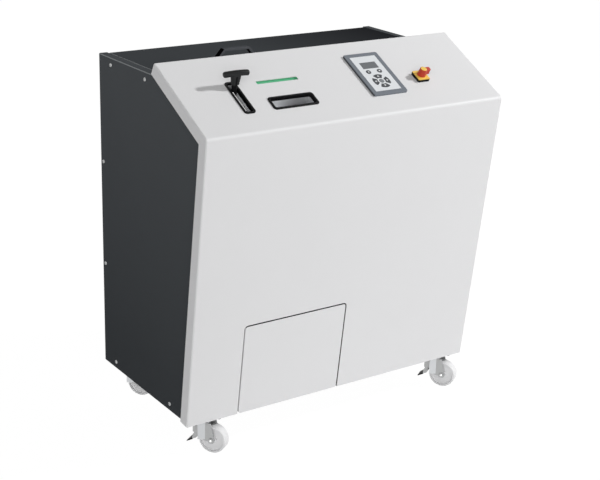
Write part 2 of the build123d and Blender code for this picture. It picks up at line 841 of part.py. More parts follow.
with BuildPart() as lever_grip:
    with BuildLine(bar_plane) as bar_line:
        ThreePointArc((-half_grip, grip_arch), (0, 0), (half_grip, grip_arch))
    with BuildSketch(Plane(origin=bar_line.wire() @ 0, z_dir=bar_line.wire() % 0)):
        Circle(grip_radius)
    sweep(path=bar_line.wire())
    fillet(lever_grip.edges().filter_by(GeomType.CIRCLE), grip_radius / 2)
    with BuildSketch(lever_plane.offset(grip_start)):
        RectangleRounded(grip_neck[0], grip_neck[1], grip_neck[1] / 3)
    with BuildSketch(lever_plane.offset(lever_reach)):
        RectangleRounded(grip_flare, grip_neck[1], grip_neck[1] / 3)
    loft()
    with BuildSketch(lever_plane):
        Circle(lever_rod + run_gap)
    extrude(amount=lever_reach - grip_radius + run_gap, mode=Mode.SUBTRACT)
save(lever_grip, "lever_grip")

# Feed flap: a plate on a sleeve, closing the throat at rest
flap_left = feed_x - flap_half
with BuildPart() as feed_flap:
    with BuildSketch(pivot_side.offset(flap_left)):
        Circle(flap_sleeve)
        with Locations((flap_length / 2, 0)):
            Rectangle(flap_length, flap_thickness)
    extrude(amount=2 * flap_half)
    with BuildSketch(pivot_side.offset(flap_left)):
        Circle(lever_shaft + run_gap)
    extrude(amount=2 * flap_half, mode=Mode.SUBTRACT)
save(feed_flap, "feed_flap")

# Control unit: a frame on the slope with a box below, a label plate, a display and keys
label_floor = control_height - label_recess
label_top = label_floor + label_thickness
control_at = (control_x, -control_down)
display_at = (control_x, -control_down + display_rise)
pad_y = -control_down - key_pad_drop
round_keys = {
    "key_upper_left": (control_x - key_pair_spread / 2, -control_down + key_pair_rise),
    "key_upper_right": (control_x + key_pair_spread / 2, -control_down + key_pair_rise),
    "key_center": (control_x, pad_y),
}
arrow_keys = {
    "key_right": 0,
    "key_up": 90,
    "key_left": 180,
    "key_down": 270,
}


def arrow_outline(turn, gap):
    """Outline of an arrow key, a sector of a ring round the middle key, with a gap round it."""
    half = arrow_sweep / 2 + degrees(gap / arrow_inner)
    middle = (control_x, pad_y)
    with BuildLine() as outline:
        outer = CenterArc(middle, arrow_outer + gap, turn - half, 2 * half)
        inner = CenterArc(middle, arrow_inner - gap, turn - half, 2 * half)
        Line(outer @ 0, inner @ 0)
        Line(outer @ 1, inner @ 1)
    make_face(outline.edges())


def key_holes(gap):
    """Outlines of all keys, with a gap round them."""
    for place in round_keys.values():
        with Locations(place):
            Circle(key_radius + gap)
    for turn in arrow_keys.values():
        arrow_outline(turn, gap)


with BuildPart() as control_housing:
    with BuildSketch(slope_plane):
        with Locations(control_at):
            RectangleRounded(control_width, control_length, control_height)
    extrude(amount=control_height)
    fillet(control_housing.faces().sort_by(slope_axis)[-1].edges(), control_height / 5)
    with BuildSketch(slope_plane):
        with Locations(control_at):
            Rectangle(*control_hole)
    extrude(amount=-control_box_depth)
    with BuildSketch(slope_plane.offset(control_height)):
        with Locations(control_at):
            Rectangle(label_width + 2 * seat_gap, label_length + 2 * seat_gap)
    extrude(amount=-label_recess, mode=Mode.SUBTRACT)
    with BuildSketch(slope_plane.offset(label_floor)):
        key_holes(key_gap)
    extrude(amount=-key_pocket, mode=Mode.SUBTRACT)
save(control_housing, "control_housing")

with BuildPart() as keypad_plate:
    with BuildSketch(slope_plane.offset(label_floor)):
        with Locations(control_at):
            Rectangle(label_width, label_length)
        with Locations(display_at):
            Rectangle(display_width + 2 * seat_gap, display_length + 2 * seat_gap, mode=Mode.SUBTRACT)
    extrude(amount=label_thickness)
    with BuildSketch(slope_plane.offset(label_floor)):
        key_holes(key_gap)
    extrude(amount=label_thickness, mode=Mode.SUBTRACT)
save(keypad_plate, "keypad_plate")

with BuildPart() as display_window:
    with BuildSketch(slope_plane.offset(label_floor)):
        with Locations(display_at):
            Rectangle(display_width, display_length)
    extrude(amount=label_thickness)
save(display_window, "display_window")

key_top_plane = slope_plane.offset(label_top + key_rise)
for key_name, place in round_keys.items():
    with BuildPart() as key:
        with BuildSketch(key_top_plane):
            with Locations(place):
                Circle(key_radius)
        extrude(amount=-key_height)
        fillet(key.faces().sort_by(slope_axis)[-1].edges(), key_rise / 2)
    save(key, key_name)
for key_name, turn in arrow_keys.items():
    with BuildPart() as key:
        with BuildSketch(key_top_plane) as key_outline:
            arrow_outline(turn, 0)
            fillet(key_outline.vertices(), key_radius / 4)
        extrude(amount=-key_height)
    save(key, key_name)

# Main switch: black base and yellow plate on the slope, contact body below, red knob
switch_at = (switch_x, -switch_down)
plate_top = switch_base_height + switch_plate_height

with BuildPart() as switch_base:
    with BuildSketch(slope_plane):
        with Locations(switch_at):
            RectangleRounded(switch_size + 2 * seat_gap, switch_size + 2 * seat_gap, switch_plate_height)
    extrude(amount=switch_base_height)
    with BuildSketch(slope_plane):
        with Locations(switch_at):
            Circle(switch_size / 3 - seat_gap)
    extrude(amount=-2 * hood_sheet)
    with BuildSketch(slope_plane.offset(-hood_sheet)):
        with Locations(switch_at):
            Rectangle(switch_size, switch_size)
    extrude(amount=-switch_body_depth)
    with BuildSketch(slope_plane.offset(switch_base_height)):
        with Locations(switch_at):
            Circle(switch_stem + run_gap)
    extrude(amount=-switch_body_depth / 2, mode=Mode.SUBTRACT)
save(switch_base, "switch_base")

with BuildPart() as switch_plate:
    with BuildSketch(slope_plane.offset(switch_base_height)):
        with Locations(switch_at):
            RectangleRounded(switch_size, switch_size, switch_plate_height)
            Circle(knob_radius - switch_plate_height, mode=Mode.SUBTRACT)
    extrude(amount=switch_plate_height)
save(switch_plate, "switch_plate")

with BuildPart() as switch_knob:
    with BuildSketch(slope_plane.offset(plate_top + seat_gap)):
        with Locations(switch_at):
            Circle(knob_radius)
    with BuildSketch(slope_plane.offset(plate_top + seat_gap + knob_height)):
        with Locations(switch_at):
            Circle(knob_top)
    loft()
    with BuildSketch(slope_plane.offset(plate_top + seat_gap + knob_height)):
        with Locations((switch_x + knob_wing / 2, -switch_down)):
            RectangleRounded(knob_wing, knob_wing_width, knob_wing_width / 4)
    extrude(amount=-knob_wing_height)
    fillet(switch_knob.faces().sort_by(slope_axis)[-1].edges(), switch_plate_height / 2)
    with BuildSketch(slope_plane.offset(plate_top + seat_gap)):
        with Locations(switch_at):
            Circle(switch_stem)
    extrude(amount=-switch_body_depth / 3)
save(switch_knob, "switch_knob")

# Cutting unit: two shafts with interleaved hooked discs between two side plates
center_distance = gear_module * gear_teeth
shaft_front_y = cutter_y - center_distance / 2
shaft_rear_y = cutter_y + center_distance / 2
plate_inner = cutter_width / 2 + side_plate_gap
plate_outer = plate_inner + side_plate
plate_starts = (feed_x - plate_outer, feed_x + plate_inner)
plate_half = center_distance / 2 + side_plate_reach
bar_y = plate_half - tie_bar_inset
bar_z = side_plate_half_height - tie_bar_inset
cutter_section = Plane.YZ

with BuildPart() as cutter_frame:
    for start in plate_starts:
        with BuildSketch(cutter_section.offset(start)):
            with Locations((cutter_y, cutter_height)):
                RectangleRounded(2 * plate_half, 2 * side_plate_half_height, tie_bar)
            with Locations((shaft_front_y, cutter_height), (shaft_rear_y, cutter_height)):
                Circle(bearing_radius + run_gap, mode=Mode.SUBTRACT)
        extrude(amount=side_plate)
    with BuildSketch(cutter_section.offset(feed_x - plate_inner)):
        with Locations((cutter_y, cutter_height)):
            with GridLocations(2 * bar_y, 2 * bar_z, 2, 2):
                Circle(tie_bar)
    extrude(amount=2 * plate_inner)
save(cutter_frame, "cutter_frame")

with BuildPart() as cutter_bearings:
    for start in plate_starts:
        with BuildSketch(cutter_section.offset(start)):
            with Locations((shaft_front_y, cutter_height), (shaft_rear_y, cutter_height)):
                Circle(bearing_radius)
                Circle(shaft_journal + run_gap, mode=Mode.SUBTRACT)
        extrude(amount=side_plate)
save(cutter_bearings, "cutter_bearings")

gear_end = feed_x - plate_outer - side_plate_gap
gear_start = gear_end - gear_width
shaft_start = gear_start - 2 * side_plate_gap
gearbox_start = feed_x + plate_outer + gearbox_gap
gearbox_end = gearbox_start + gearbox_width
hex_half = plate_inner - seat_gap
hex_radius = shaft_hex / sqrt(3)
slot_width = cutter_width / (2 * cutter_count)


def hook(direction):
    """One hook of a cutter disc, leaning back against its direction of turn."""
    root = 0.85 * cutter_core
    back = direction * 0.5 * cutter_core
    Polygon((root, 0), (cutter_tip, 0), (0.95 * cutter_tip, back / 2), (root, back), align=None)


def cutter_stack(y, direction, first_slot):
    """Discs and spacers of one shaft, each disc turned a little past the one before."""
    with BuildPart() as stack:
        for slot in range(2 * cutter_count):
            start = feed_x - cutter_width / 2 + slot * slot_width + cutter_side_gap / 2
            with BuildSketch(Plane(origin=(start, y, cutter_height), x_dir=(0, 1, 0), z_dir=(1, 0, 0))):
                if slot % 2 == first_slot:
                    Circle(cutter_core)
                    turn = slot * 360 / (2 * cutter_count * cutter_hooks)
                    with PolarLocations(0, cutter_hooks, start_angle=turn):
                        hook(direction)
                else:
                    Circle(spacer_radius)
                RegularPolygon(hex_radius + seat_gap / 2, 6, mode=Mode.SUBTRACT)
            extrude(amount=slot_width - cutter_side_gap)
    return stack


def cutter_shaft(y, end):
    """Hexagonal shaft with round journals, one of them long enough for the gear."""
    with BuildPart() as shaft:
        with BuildSketch(Plane(origin=(shaft_start, y, cutter_height), x_dir=(0, 1, 0), z_dir=(1, 0, 0))):
            Circle(shaft_journal)
        extrude(amount=end - shaft_start)
        hex_start = feed_x - hex_half
        with BuildSketch(Plane(origin=(hex_start, y, cutter_height), x_dir=(0, 1, 0), z_dir=(1, 0, 0))):
            RegularPolygon(hex_radius, 6)
        extrude(amount=2 * hex_half)
    return shaft


def flank_angle(radius):
    """Half the angle a tooth covers at a radius, with the backlash taken off."""
    pitch_radius = center_distance / 2
    base_radius = pitch_radius * cos(radians(20))
    here = acos(min(1.0, base_radius / radius))
    spread = tan(radians(20)) - radians(20) - tan(here) + here
    return pi / (2 * gear_teeth) - gear_backlash / (2 * pitch_radius) + spread


def timing_gear(y, turn):
    """Spur gear on the left end of a cutter shaft."""
    pitch_radius = center_distance / 2
    radii = [
        pitch_radius - 1.25 * gear_module,
        pitch_radius - 0.65 * gear_module,
        pitch_radius,
        pitch_radius + 0.9 * gear_module,
    ]
    points = []
    for tooth in range(gear_teeth):
        middle = radians(turn) + tooth * 2 * pi / gear_teeth
        for radius in radii:
            angle = middle - flank_angle(radius)
            points.append((radius * cos(angle), radius * sin(angle)))
        for radius in reversed(radii):
            angle = middle + flank_angle(radius)
            points.append((radius * cos(angle), radius * sin(angle)))
    with BuildPart() as gear:
        with BuildSketch(Plane(origin=(gear_start, y, cutter_height), x_dir=(0, 1, 0), z_dir=(1, 0, 0))):
            with BuildLine():
                Polyline(*points, close=True)
            make_face()
            Circle(shaft_journal + run_gap, mode=Mode.SUBTRACT)
        extrude(amount=gear_width)
    return gear


save(cutter_shaft(shaft_front_y, gearbox_end - side_plate_gap), "cutter_shaft_front")
save(cutter_shaft(shaft_rear_y, feed_x + plate_outer + side_plate_gap), "cutter_shaft_rear")
save(cutter_stack(shaft_front_y, 1, 0), "cutter_discs_front")
save(cutter_stack(shaft_rear_y, -1, 1), "cutter_discs_rear")
save(timing_gear(shaft_front_y, 0), "timing_gear_front")
save(timing_gear(shaft_rear_y, 180 / gear_teeth), "timing_gear_rear")

# Drive: a hollow-shaft gearbox on the front cutter shaft with a finned motor beside it
motor_y = shaft_front_y + gearbox_offset
motor_start = gearbox_end

with BuildPart() as gearbox:
    with BuildSketch(cutter_section.offset(gearbox_start)):
        with Locations((shaft_front_y, cutter_height), (motor_y, cutter_height)):
            Circle(gearbox_radius)
        with Locations(((shaft_front_y + motor_y) / 2, cutter_height)):
            Rectangle(gearbox_offset, 2 * gearbox_radius)
    extrude(amount=gearbox_width)
    foot_rise = cutter_height - gearbox_radius / 2 - deck_height
    with Locations((gearbox_start + gearbox_width / 2, deck_front_y, deck_height + foot_rise / 2)):
        Box(gearbox_foot, deck_rail_depth, foot_rise)
    with BuildSketch(cutter_section.offset(gearbox_start)):
        with Locations((shaft_front_y, cutter_height)):
            Circle(shaft_journal + run_gap)
    extrude(amount=gearbox_width, mode=Mode.SUBTRACT)
save(gearbox, "gearbox")

with BuildPart() as drive_motor:
    with BuildSketch(Plane(origin=(motor_start, motor_y, cutter_height), x_dir=(0, 1, 0), z_dir=(1, 0, 0))):
        Circle(motor_radius)
        with PolarLocations(motor_radius, motor_fin_count):
            Rectangle(2 * motor_fin, motor_fin_width)
    extrude(amount=motor_length - motor_cowl)
    cowl_start = motor_start + motor_length - motor_cowl
    with BuildSketch(Plane(origin=(cowl_start, motor_y, cutter_height), x_dir=(0, 1, 0), z_dir=(1, 0, 0))):
        Circle(motor_radius + motor_fin + body_sheet)
    extrude(amount=motor_cowl)
    terminal_z = cutter_height + motor_radius + terminal_height / 2
    with Locations((motor_start + motor_length / 3, motor_y, terminal_z)):
        Box(terminal_size, terminal_size, terminal_height)
save(drive_motor, "drive_motor")

# Electrics box on the base plate, open towards it
electrics_x = panel_face - electrics_inset
electrics_y = rear_y - electrics_setback

with BuildPart() as electrics_box:
    with Locations((electrics_x, electrics_y, base_top + electrics_size[2] / 2)):
        Box(*electrics_size)
    with Locations((electrics_x, electrics_y, base_top + electrics_size[2] / 2 - body_sheet)):
        Box(
            electrics_size[0] - 2 * body_sheet,
            electrics_size[1] - 2 * body_sheet,
            electrics_size[2],
            mode=Mode.SUBTRACT,
        )
    door_face = Plane(
        origin=(electrics_x, electrics_y - electrics_size[1] / 2, base_top + electrics_size[2] / 2),
        x_dir=(1, 0, 0),
        z_dir=(0, -1, 0),
    )
    with BuildSketch(door_face):
        Rectangle(electrics_size[0] - 2 * electrics_door_lip, electrics_size[2] - 2 * electrics_door_lip)
    extrude(amount=electrics_door_lip)
save(electrics_box, "electrics_box")

# Discharge chute between the deck rails
chute_front = deck_front_y + deck_rail_depth / 2 + seat_gap
chute_rear = deck_rear_y - deck_rail_depth / 2 - seat_gap
chute_width = 2 * (plate_inner - seat_gap)

with BuildPart() as discharge_chute:
    with BuildSketch(Plane.XY.offset(chute_bottom)):
        with Locations((feed_x, (chute_front + chute_rear) / 2)):
            Rectangle(chute_width, chute_rear - chute_front)
            Rectangle(
                chute_width - 2 * body_sheet, chute_rear - chute_front - 2 * body_sheet, mode=Mode.SUBTRACT
            )
    extrude(amount=deck_height + chute_rise - chute_bottom)
save(discharge_chute, "discharge_chute")

# Shred bin drawer: its front closes the opening in the hood
door_place = (door_x, -front_length + (door_height - door_gap) / 2)
door_size = (door_width - 2 * door_gap, door_height - door_gap)

with BuildPart() as bin_front:
    with BuildSketch(front_plane):
        with Locations(door_place):
            RectangleRounded(door_size[0], door_size[1], door_corner - door_gap)
    extrude(amount=-door_depth)
    fillet(bin_front.faces().sort_by(front_axis)[-1].edges(), hood_sheet / 2)
    with BuildSketch(front_plane.offset(-hood_sheet)):
        with Locations(door_place):
            RectangleRounded(
                door_size[0] - 2 * hood_sheet, door_size[1] - 2 * hood_sheet, door_corner - door_gap - hood_sheet
            )
    extrude(amount=-door_depth, mode=Mode.SUBTRACT)
    with BuildSketch(front_plane.offset(-hood_sheet)):
        with Locations((door_x, -front_length)):
            Rectangle(grip_notch, 4 * hood_sheet)
    extrude(amount=-door_depth, mode=Mode.SUBTRACT)
    with BuildSketch(front_plane.offset(-hood_sheet)):
        with Locations(door_place):
            with GridLocations(2 * bin_width / 3, 1, 2, 1):
                Rectangle(runner_width, rib_length)
    extrude(amount=hood_sheet - door_depth)
save(bin_front, "bin_front")

bin_bottom = base_top + runner_height + seat_gap
bin_rear = rear_y - bin_rear_setback


def bin_outline(inset, top):
    """Side view of the bin, with its front wall parallel to the hood's front."""
    depth = door_depth + inset
    bottom = bin_bottom + inset
    return [
        (front_at(bottom, depth), bottom),
        (bin_rear - inset, bottom),
        (bin_rear - inset, top),
        (front_at(top, depth), top),
    ]


with BuildPart() as shred_bin:
    with BuildSketch(Plane.YZ.offset(door_x - bin_width / 2)):
        with BuildLine():
            Polyline(*bin_outline(0, bin_top), close=True)
        make_face()
    extrude(amount=bin_width)
    with BuildSketch(Plane.YZ.offset(door_x - bin_width / 2 + bin_sheet)):
        with BuildLine():
            Polyline(*bin_outline(bin_sheet, bin_top + bin_sheet), close=True)
        make_face()
    extrude(amount=bin_width - 2 * bin_sheet, mode=Mode.SUBTRACT)
save(shred_bin, "shred_bin")

with BuildPart() as drawer_runners:
    runner_front = door_notch + door_gap
    for side in (-1, 1):
        with Locations(
            (door_x + side * runner_spread / 2, (runner_front + bin_rear) / 2, base_top + runner_height / 2)
        ):
            Box(runner_width, bin_rear - runner_front, runner_height)
save(drawer_runners, "drawer_runners")

# Cable gland through the base plate
with BuildPart() as cable_gland:
    with BuildSketch(Plane.XY.offset(base_bottom)):
        with Locations((gland_x, gland_y)):
            RegularPolygon(gland_flange, 6)
    extrude(amount=-gland_drop)
    with BuildSketch(Plane.XY.offset(base_bottom)):
        with Locations((gland_x, gland_y)):
            Circle(gland_thread)
    extrude(amount=base_thickness + gland_nut + seat_gap)
    with BuildSketch(Plane.XY.offset(base_top)):
        with Locations((gland_x, gland_y)):
            RegularPolygon(gland_flange, 6)
    extrude(amount=gland_nut)
    with BuildSketch(Plane.XY.offset(base_top + 2 * gland_nut)):
        with Locations((gland_x, gland_y)):
            Circle(gland_bore)
    extrude(amount=-cut_depth, mode=Mode.SUBTRACT)
save(cable_gland, "cable_gland")

# Casters: fixed plates with king pins, bolts, swivelling forks, wheels and brake pedals
plate_bottom = base_bottom - caster_plate[2]
race_bottom = plate_bottom - race_height
fork_top = race_bottom - seat_gap
crown_bottom = fork_top - fork_crown_height
wheel_radius = wheel_diameter / 2
leg_inner = wheel_width / 2 + fork_gap
leg_outer = leg_inner + fork_sheet

with BuildPart() as caster_plates:
    for x, y in caster_places.values():
        with BuildSketch(Plane.XY.offset(plate_bottom)):
            with Locations((x, y)):
                RectangleRounded(caster_plate[0], caster_plate[1], 4 * caster_plate[2])
                with GridLocations(caster_holes[0], caster_holes[1], 2, 2):
                    Circle(caster_bolt + bolt_hole_gap, mode=Mode.SUBTRACT)
        extrude(amount=caster_plate[2])
        with BuildSketch(Plane.XY.offset(race_bottom)):
            with Locations((x, y)):
                Circle(race_radius)
        extrude(amount=race_height)
        with BuildSketch(Plane.XY.offset(crown_bottom)):
            with Locations((x, y)):
                Circle(king_pin)
        extrude(amount=plate_bottom - crown_bottom)
save(caster_plates, "caster_plates")

with BuildPart() as caster_bolts:
    with BuildSketch(Plane.XY.offset(plate_bottom)):
        with Locations(*bolt_places):
            RegularPolygon(bolt_head, 6)
    extrude(amount=-bolt_head_height)
    with BuildSketch(Plane.XY.offset(plate_bottom)):
        with Locations(*bolt_places):
            Circle(caster_bolt)
    extrude(amount=caster_plate[2] + base_thickness - seat_gap)
save(caster_bolts, "caster_bolts")

trail_way = Vector(sin(radians(caster_yaw)), -cos(radians(caster_yaw)), 0)
axle_way = Vector(cos(radians(caster_yaw)), sin(radians(caster_yaw)), 0)


def caster_side(place):
    """Plane through a caster's swivel axis: X along the trail, Y up."""
    return Plane(origin=(place[0], place[1], 0), x_dir=trail_way, z_dir=-axle_way)


def caster_fork(place, braked):
    """Fork with crown, flared legs and the axle; with a brake, also cheeks and a web that hold the pedal."""
    side = caster_side(place)
    lead = -fork_crown + fork_sheet
    leg_lead = caster_trail - fork_leg_lead
    leg_plan = Plane(side.origin, x_dir=trail_way)
    with BuildPart() as fork:
        for way in (-1, 1):
            with BuildSketch(side.offset(way * leg_inner)):
                Polygon(
                    (leg_lead, fork_top),
                    (leg_lead + fork_leg, fork_top),
                    (caster_trail + fork_foot, wheel_radius),
                    (caster_trail - fork_foot, wheel_radius - fork_foot / 2),
                    (leg_lead, wheel_radius),
                    align=None,
                )
                with Locations((caster_trail, wheel_radius)):
                    Circle(fork_foot)
                if braked:
                    Polygon(
                        (lead, fork_top),
                        (leg_lead, fork_top),
                        (leg_lead, pedal_height - 2 * pedal_pin),
                        (lead, pedal_height - 2 * pedal_pin),
                        align=None,
                    )
            extrude(amount=way * fork_sheet)
            with BuildSketch(leg_plan.offset(wheel_radius)):
                Polygon(
                    (leg_lead, way * leg_outer),
                    (leg_lead + fork_flange, way * leg_outer),
                    (leg_lead, way * (leg_outer + fork_flare)),
                    align=None,
                )
            extrude(amount=fork_top - wheel_radius)
        with BuildSketch(Plane.XY.offset(crown_bottom)):
            with Locations((place[0], place[1])):
                Circle(fork_crown)
        extrude(amount=fork_crown_height)
        with BuildSketch(side):
            with Locations((caster_trail, wheel_radius)):
                Circle(axle_radius)
        extrude(amount=leg_outer + fork_sheet, both=True)
        if braked:
            with BuildSketch(side):
                with Locations((lead + fork_sheet / 2, fork_top - fork_web_drop / 2)):
                    Rectangle(fork_sheet, fork_web_drop)
            extrude(amount=leg_inner, both=True)
            with BuildSketch(side):
                with Locations((-pedal_lead, pedal_height)):
                    Circle(pedal_pin)
            extrude(amount=leg_outer, both=True)
        with BuildSketch(Plane.XY.offset(crown_bottom)):
            with Locations((place[0], place[1])):
                Circle(king_pin + run_gap)
        extrude(amount=fork_crown_height, mode=Mode.SUBTRACT)
    return fork


def caster_wheel(place):
    """Wheel with a recessed web between hub and rim, running on the axle."""
    half = wheel_width / 2
    rim = wheel_radius - wheel_rim
    profile = [
        (axle_radius + run_gap, -half),
        (wheel_hub, -half),
        (wheel_hub, -half + wheel_recess),
        (rim, -half + wheel_recess),
        (rim, -half),
        (wheel_radius - 2, -half),
        (wheel_radius, -half + 3),
        (wheel_radius, half - 3),
        (wheel_radius - 2, half),
        (rim, half),
        (rim, half - wheel_recess),
        (wheel_hub, half - wheel_recess),
        (wheel_hub, half),
        (axle_radius + run_gap, half),
    ]
    hub = Vector(place[0], place[1], wheel_radius) + trail_way * caster_trail
    with BuildPart() as wheel:
        with BuildSketch(Plane(origin=hub, x_dir=trail_way, z_dir=-Vector(0, 0, 1))):
            with BuildLine():
                Polyline(*profile, close=True)
            make_face()
        revolve(axis=Axis(hub, axle_way))
    return wheel


def brake_pedal(place):
    """Pedal on a pin through the fork, shown pressed, with a thick tip."""
    side = caster_side(place)
    tip = (-pedal_lead - pedal_reach, pedal_height - pedal_drop)
    eye = 2 * pedal_pin
    with BuildPart() as pedal:
        with BuildSketch(side):
            with BuildLine():
                Polyline(
                    (-pedal_lead - eye * 0.8, pedal_height + eye * 0.5),
                    (-pedal_lead + eye * 0.5, pedal_height - eye * 0.6),
                    (tip[0] + pedal_thickness, tip[1]),
                    (tip[0] - pedal_thickness, tip[1] + pedal_thickness),
                    close=True,
                )
            make_face()
            with Locations((-pedal_lead, pedal_height)):
                Circle(eye)
                Circle(pedal_pin + run_gap, mode=Mode.SUBTRACT)
        extrude(amount=leg_inner - pedal_side_gap, both=True)
    return pedal


for place_name, place in caster_places.items():
    save(caster_fork(place, "front" in place_name), f"caster_fork_{place_name}")
    save(caster_wheel(place), f"caster_wheel_{place_name}")
    if "front" in place_name:
        save(brake_pedal(place), f"brake_pedal_{place_name}")
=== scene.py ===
from math import cos, pi, radians, sin

import bmesh
import bpy
from mathutils import Matrix, Vector


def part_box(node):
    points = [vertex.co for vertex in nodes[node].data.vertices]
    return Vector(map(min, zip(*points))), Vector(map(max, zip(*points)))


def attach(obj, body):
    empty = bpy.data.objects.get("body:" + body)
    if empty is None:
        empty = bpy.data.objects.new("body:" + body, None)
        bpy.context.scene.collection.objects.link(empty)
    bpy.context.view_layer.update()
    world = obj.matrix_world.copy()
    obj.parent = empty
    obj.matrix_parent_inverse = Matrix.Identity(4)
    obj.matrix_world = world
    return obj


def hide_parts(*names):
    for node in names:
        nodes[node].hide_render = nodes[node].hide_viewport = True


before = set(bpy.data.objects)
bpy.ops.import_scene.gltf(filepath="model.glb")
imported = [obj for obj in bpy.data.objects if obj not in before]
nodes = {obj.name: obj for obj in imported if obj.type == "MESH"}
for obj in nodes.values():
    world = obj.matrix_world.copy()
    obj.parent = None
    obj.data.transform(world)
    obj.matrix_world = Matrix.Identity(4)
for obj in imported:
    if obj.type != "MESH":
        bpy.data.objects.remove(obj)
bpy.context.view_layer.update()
MM = 0.001

# Directions on the machine: the slope runs from the hood's crest to its fold, as in the part's source
CREST = Vector((0, -0.040, 1.066))
FOLD = Vector((0, -0.307, 0.926))
ACROSS = Vector((1, 0, 0))
UP = Vector((0, 0, 1))
DOWN_SLOPE = (FOLD - CREST).normalized()
SLOPE_OUT = ACROSS.cross(-DOWN_SLOPE)

# The casters trail at an angle, as in the part's source
CORNERS = ("front_left", "front_right", "rear_left", "rear_right")
YAW = radians(34)
TRAIL = Vector((sin(YAW), -cos(YAW), 0))
AXLE = Vector((cos(YAW), sin(YAW), 0))

# Camera, fitted to the edges of the machine in the photo
AZIMUTH = radians(34.93)
ELEVATION = radians(19.52)
ROLL = radians(1.78)
EYE = Vector((-2.1042, -3.0368, 1.7976))
LENS_MM = 80.567
SENSOR_MM = 36
FAR_CLIP = 80


def add_camera():
    """The photo's camera, rolled a little about its line of sight."""
    ahead = Vector((sin(AZIMUTH) * cos(ELEVATION), cos(AZIMUTH) * cos(ELEVATION), -sin(ELEVATION)))
    right = Vector((cos(AZIMUTH), -sin(AZIMUTH), 0))
    up = right.cross(ahead)
    tilted_right = right * cos(ROLL) + up * sin(ROLL)
    tilted_up = up * cos(ROLL) - right * sin(ROLL)
    camera = bpy.data.cameras.new("photo_camera")
    camera.sensor_width = SENSOR_MM
    camera.sensor_fit = "HORIZONTAL"
    camera.lens = LENS_MM
    camera.clip_end = FAR_CLIP
    camera.dof.use_dof = False
    holder = bpy.data.objects.new("photo_camera", camera)
    axes = Matrix((tilted_right, tilted_up, -ahead)).transposed()
    holder.matrix_world = Matrix.Translation(EYE) @ axes.to_4x4()
    bpy.context.scene.collection.objects.link(holder)
    bpy.context.scene.camera = holder


# Light: strengths in which 1 shows a white surface as white
SKY_LEVEL = 0.50
ZENITH_LEVEL = 0.02
KEY_LEVEL = 0.68
KEY_FROM = Vector((0.797, -0.336, 0.501))
KEY_TARGET = Vector((-0.317, -0.18, 1.0))
KEY_DISTANCE = 8.0
KEY_SIZE = 0.6
FILL_LEVEL = 0.52
FILL_FROM = Vector((-0.55, -0.82, 0.15))
FILL_ANGLE = radians(50)
FLOOR_GLOW = 0.985
FLOOR_SHADE = 0.06
FLOOR_BOUNCE = 0.75
FLOOR_HALF = 30


def seen_directly(tree):
    """A factor that is 1 for what the camera sees directly, in a mirror or through glass."""
    path = tree.nodes.new("ShaderNodeLightPath")
    factor = path.outputs["Is Camera Ray"]
    for kind in ("Is Glossy Ray", "Is Transmission Ray"):
        either = tree.nodes.new("ShaderNodeMath")
        either.operation = "MAXIMUM"
        tree.links.new(factor, either.inputs[0])
        tree.links.new(path.outputs[kind], either.inputs[1])
        factor = either.outputs["Value"]
    return factor


def add_world():
    """White behind the machine, and a soft grey sky that lights it, darker overhead."""
    world = bpy.data.worlds.new("studio")
    bpy.context.scene.world = world
    world.use_nodes = True
    tree = world.node_tree
    tree.nodes.clear()
    shown = tree.nodes.new("ShaderNodeBackground")
    shown.inputs["Color"].default_value = (1, 1, 1, 1)
    shown.inputs["Strength"].default_value = 1.0
    lighting = tree.nodes.new("ShaderNodeBackground")
    lighting.inputs["Color"].default_value = (1, 1, 1, 1)
    way = tree.nodes.new("ShaderNodeTexCoord")
    split = tree.nodes.new("ShaderNodeSeparateXYZ")
    level = tree.nodes.new("ShaderNodeMapRange")
    level.inputs["To Min"].default_value = SKY_LEVEL
    level.inputs["To Max"].default_value = ZENITH_LEVEL
    tree.links.new(way.outputs["Generated"], split.inputs["Vector"])
    tree.links.new(split.outputs["Z"], level.inputs["Value"])
    tree.links.new(level.outputs["Result"], lighting.inputs["Strength"])
    mix = tree.nodes.new("ShaderNodeMixShader")
    output = tree.nodes.new("ShaderNodeOutputWorld")
    tree.links.new(seen_directly(tree), mix.inputs["Fac"])
    tree.links.new(lighting.outputs["Background"], mix.inputs[1])
    tree.links.new(shown.outputs["Background"], mix.inputs[2])
    tree.links.new(mix.outputs["Shader"], output.inputs["Surface"])


def add_lamp(name, lamp, source):
    """Places a lamp that shines from a direction."""
    holder = bpy.data.objects.new(name, lamp)
    holder.rotation_euler = source.to_track_quat("Z", "Y").to_euler()
    bpy.context.scene.collection.objects.link(holder)
    return holder


def add_key():
    """A round lamp on the right, near enough to light the right end a little more."""
    lamp = bpy.data.lights.new("key_light", "AREA")
    lamp.shape = "DISK"
    lamp.size = KEY_SIZE
    lamp.energy = KEY_LEVEL * (pi * KEY_DISTANCE) ** 2
    holder = add_lamp("key_light", lamp, KEY_FROM)
    holder.location = KEY_TARGET + KEY_FROM * KEY_DISTANCE


def add_fill():
    """A broad distant light from the front left."""
    lamp = bpy.data.lights.new("fill_light", "SUN")
    lamp.energy = FILL_LEVEL * pi
    lamp.angle = FILL_ANGLE
    add_lamp("fill_light", lamp, FILL_FROM)


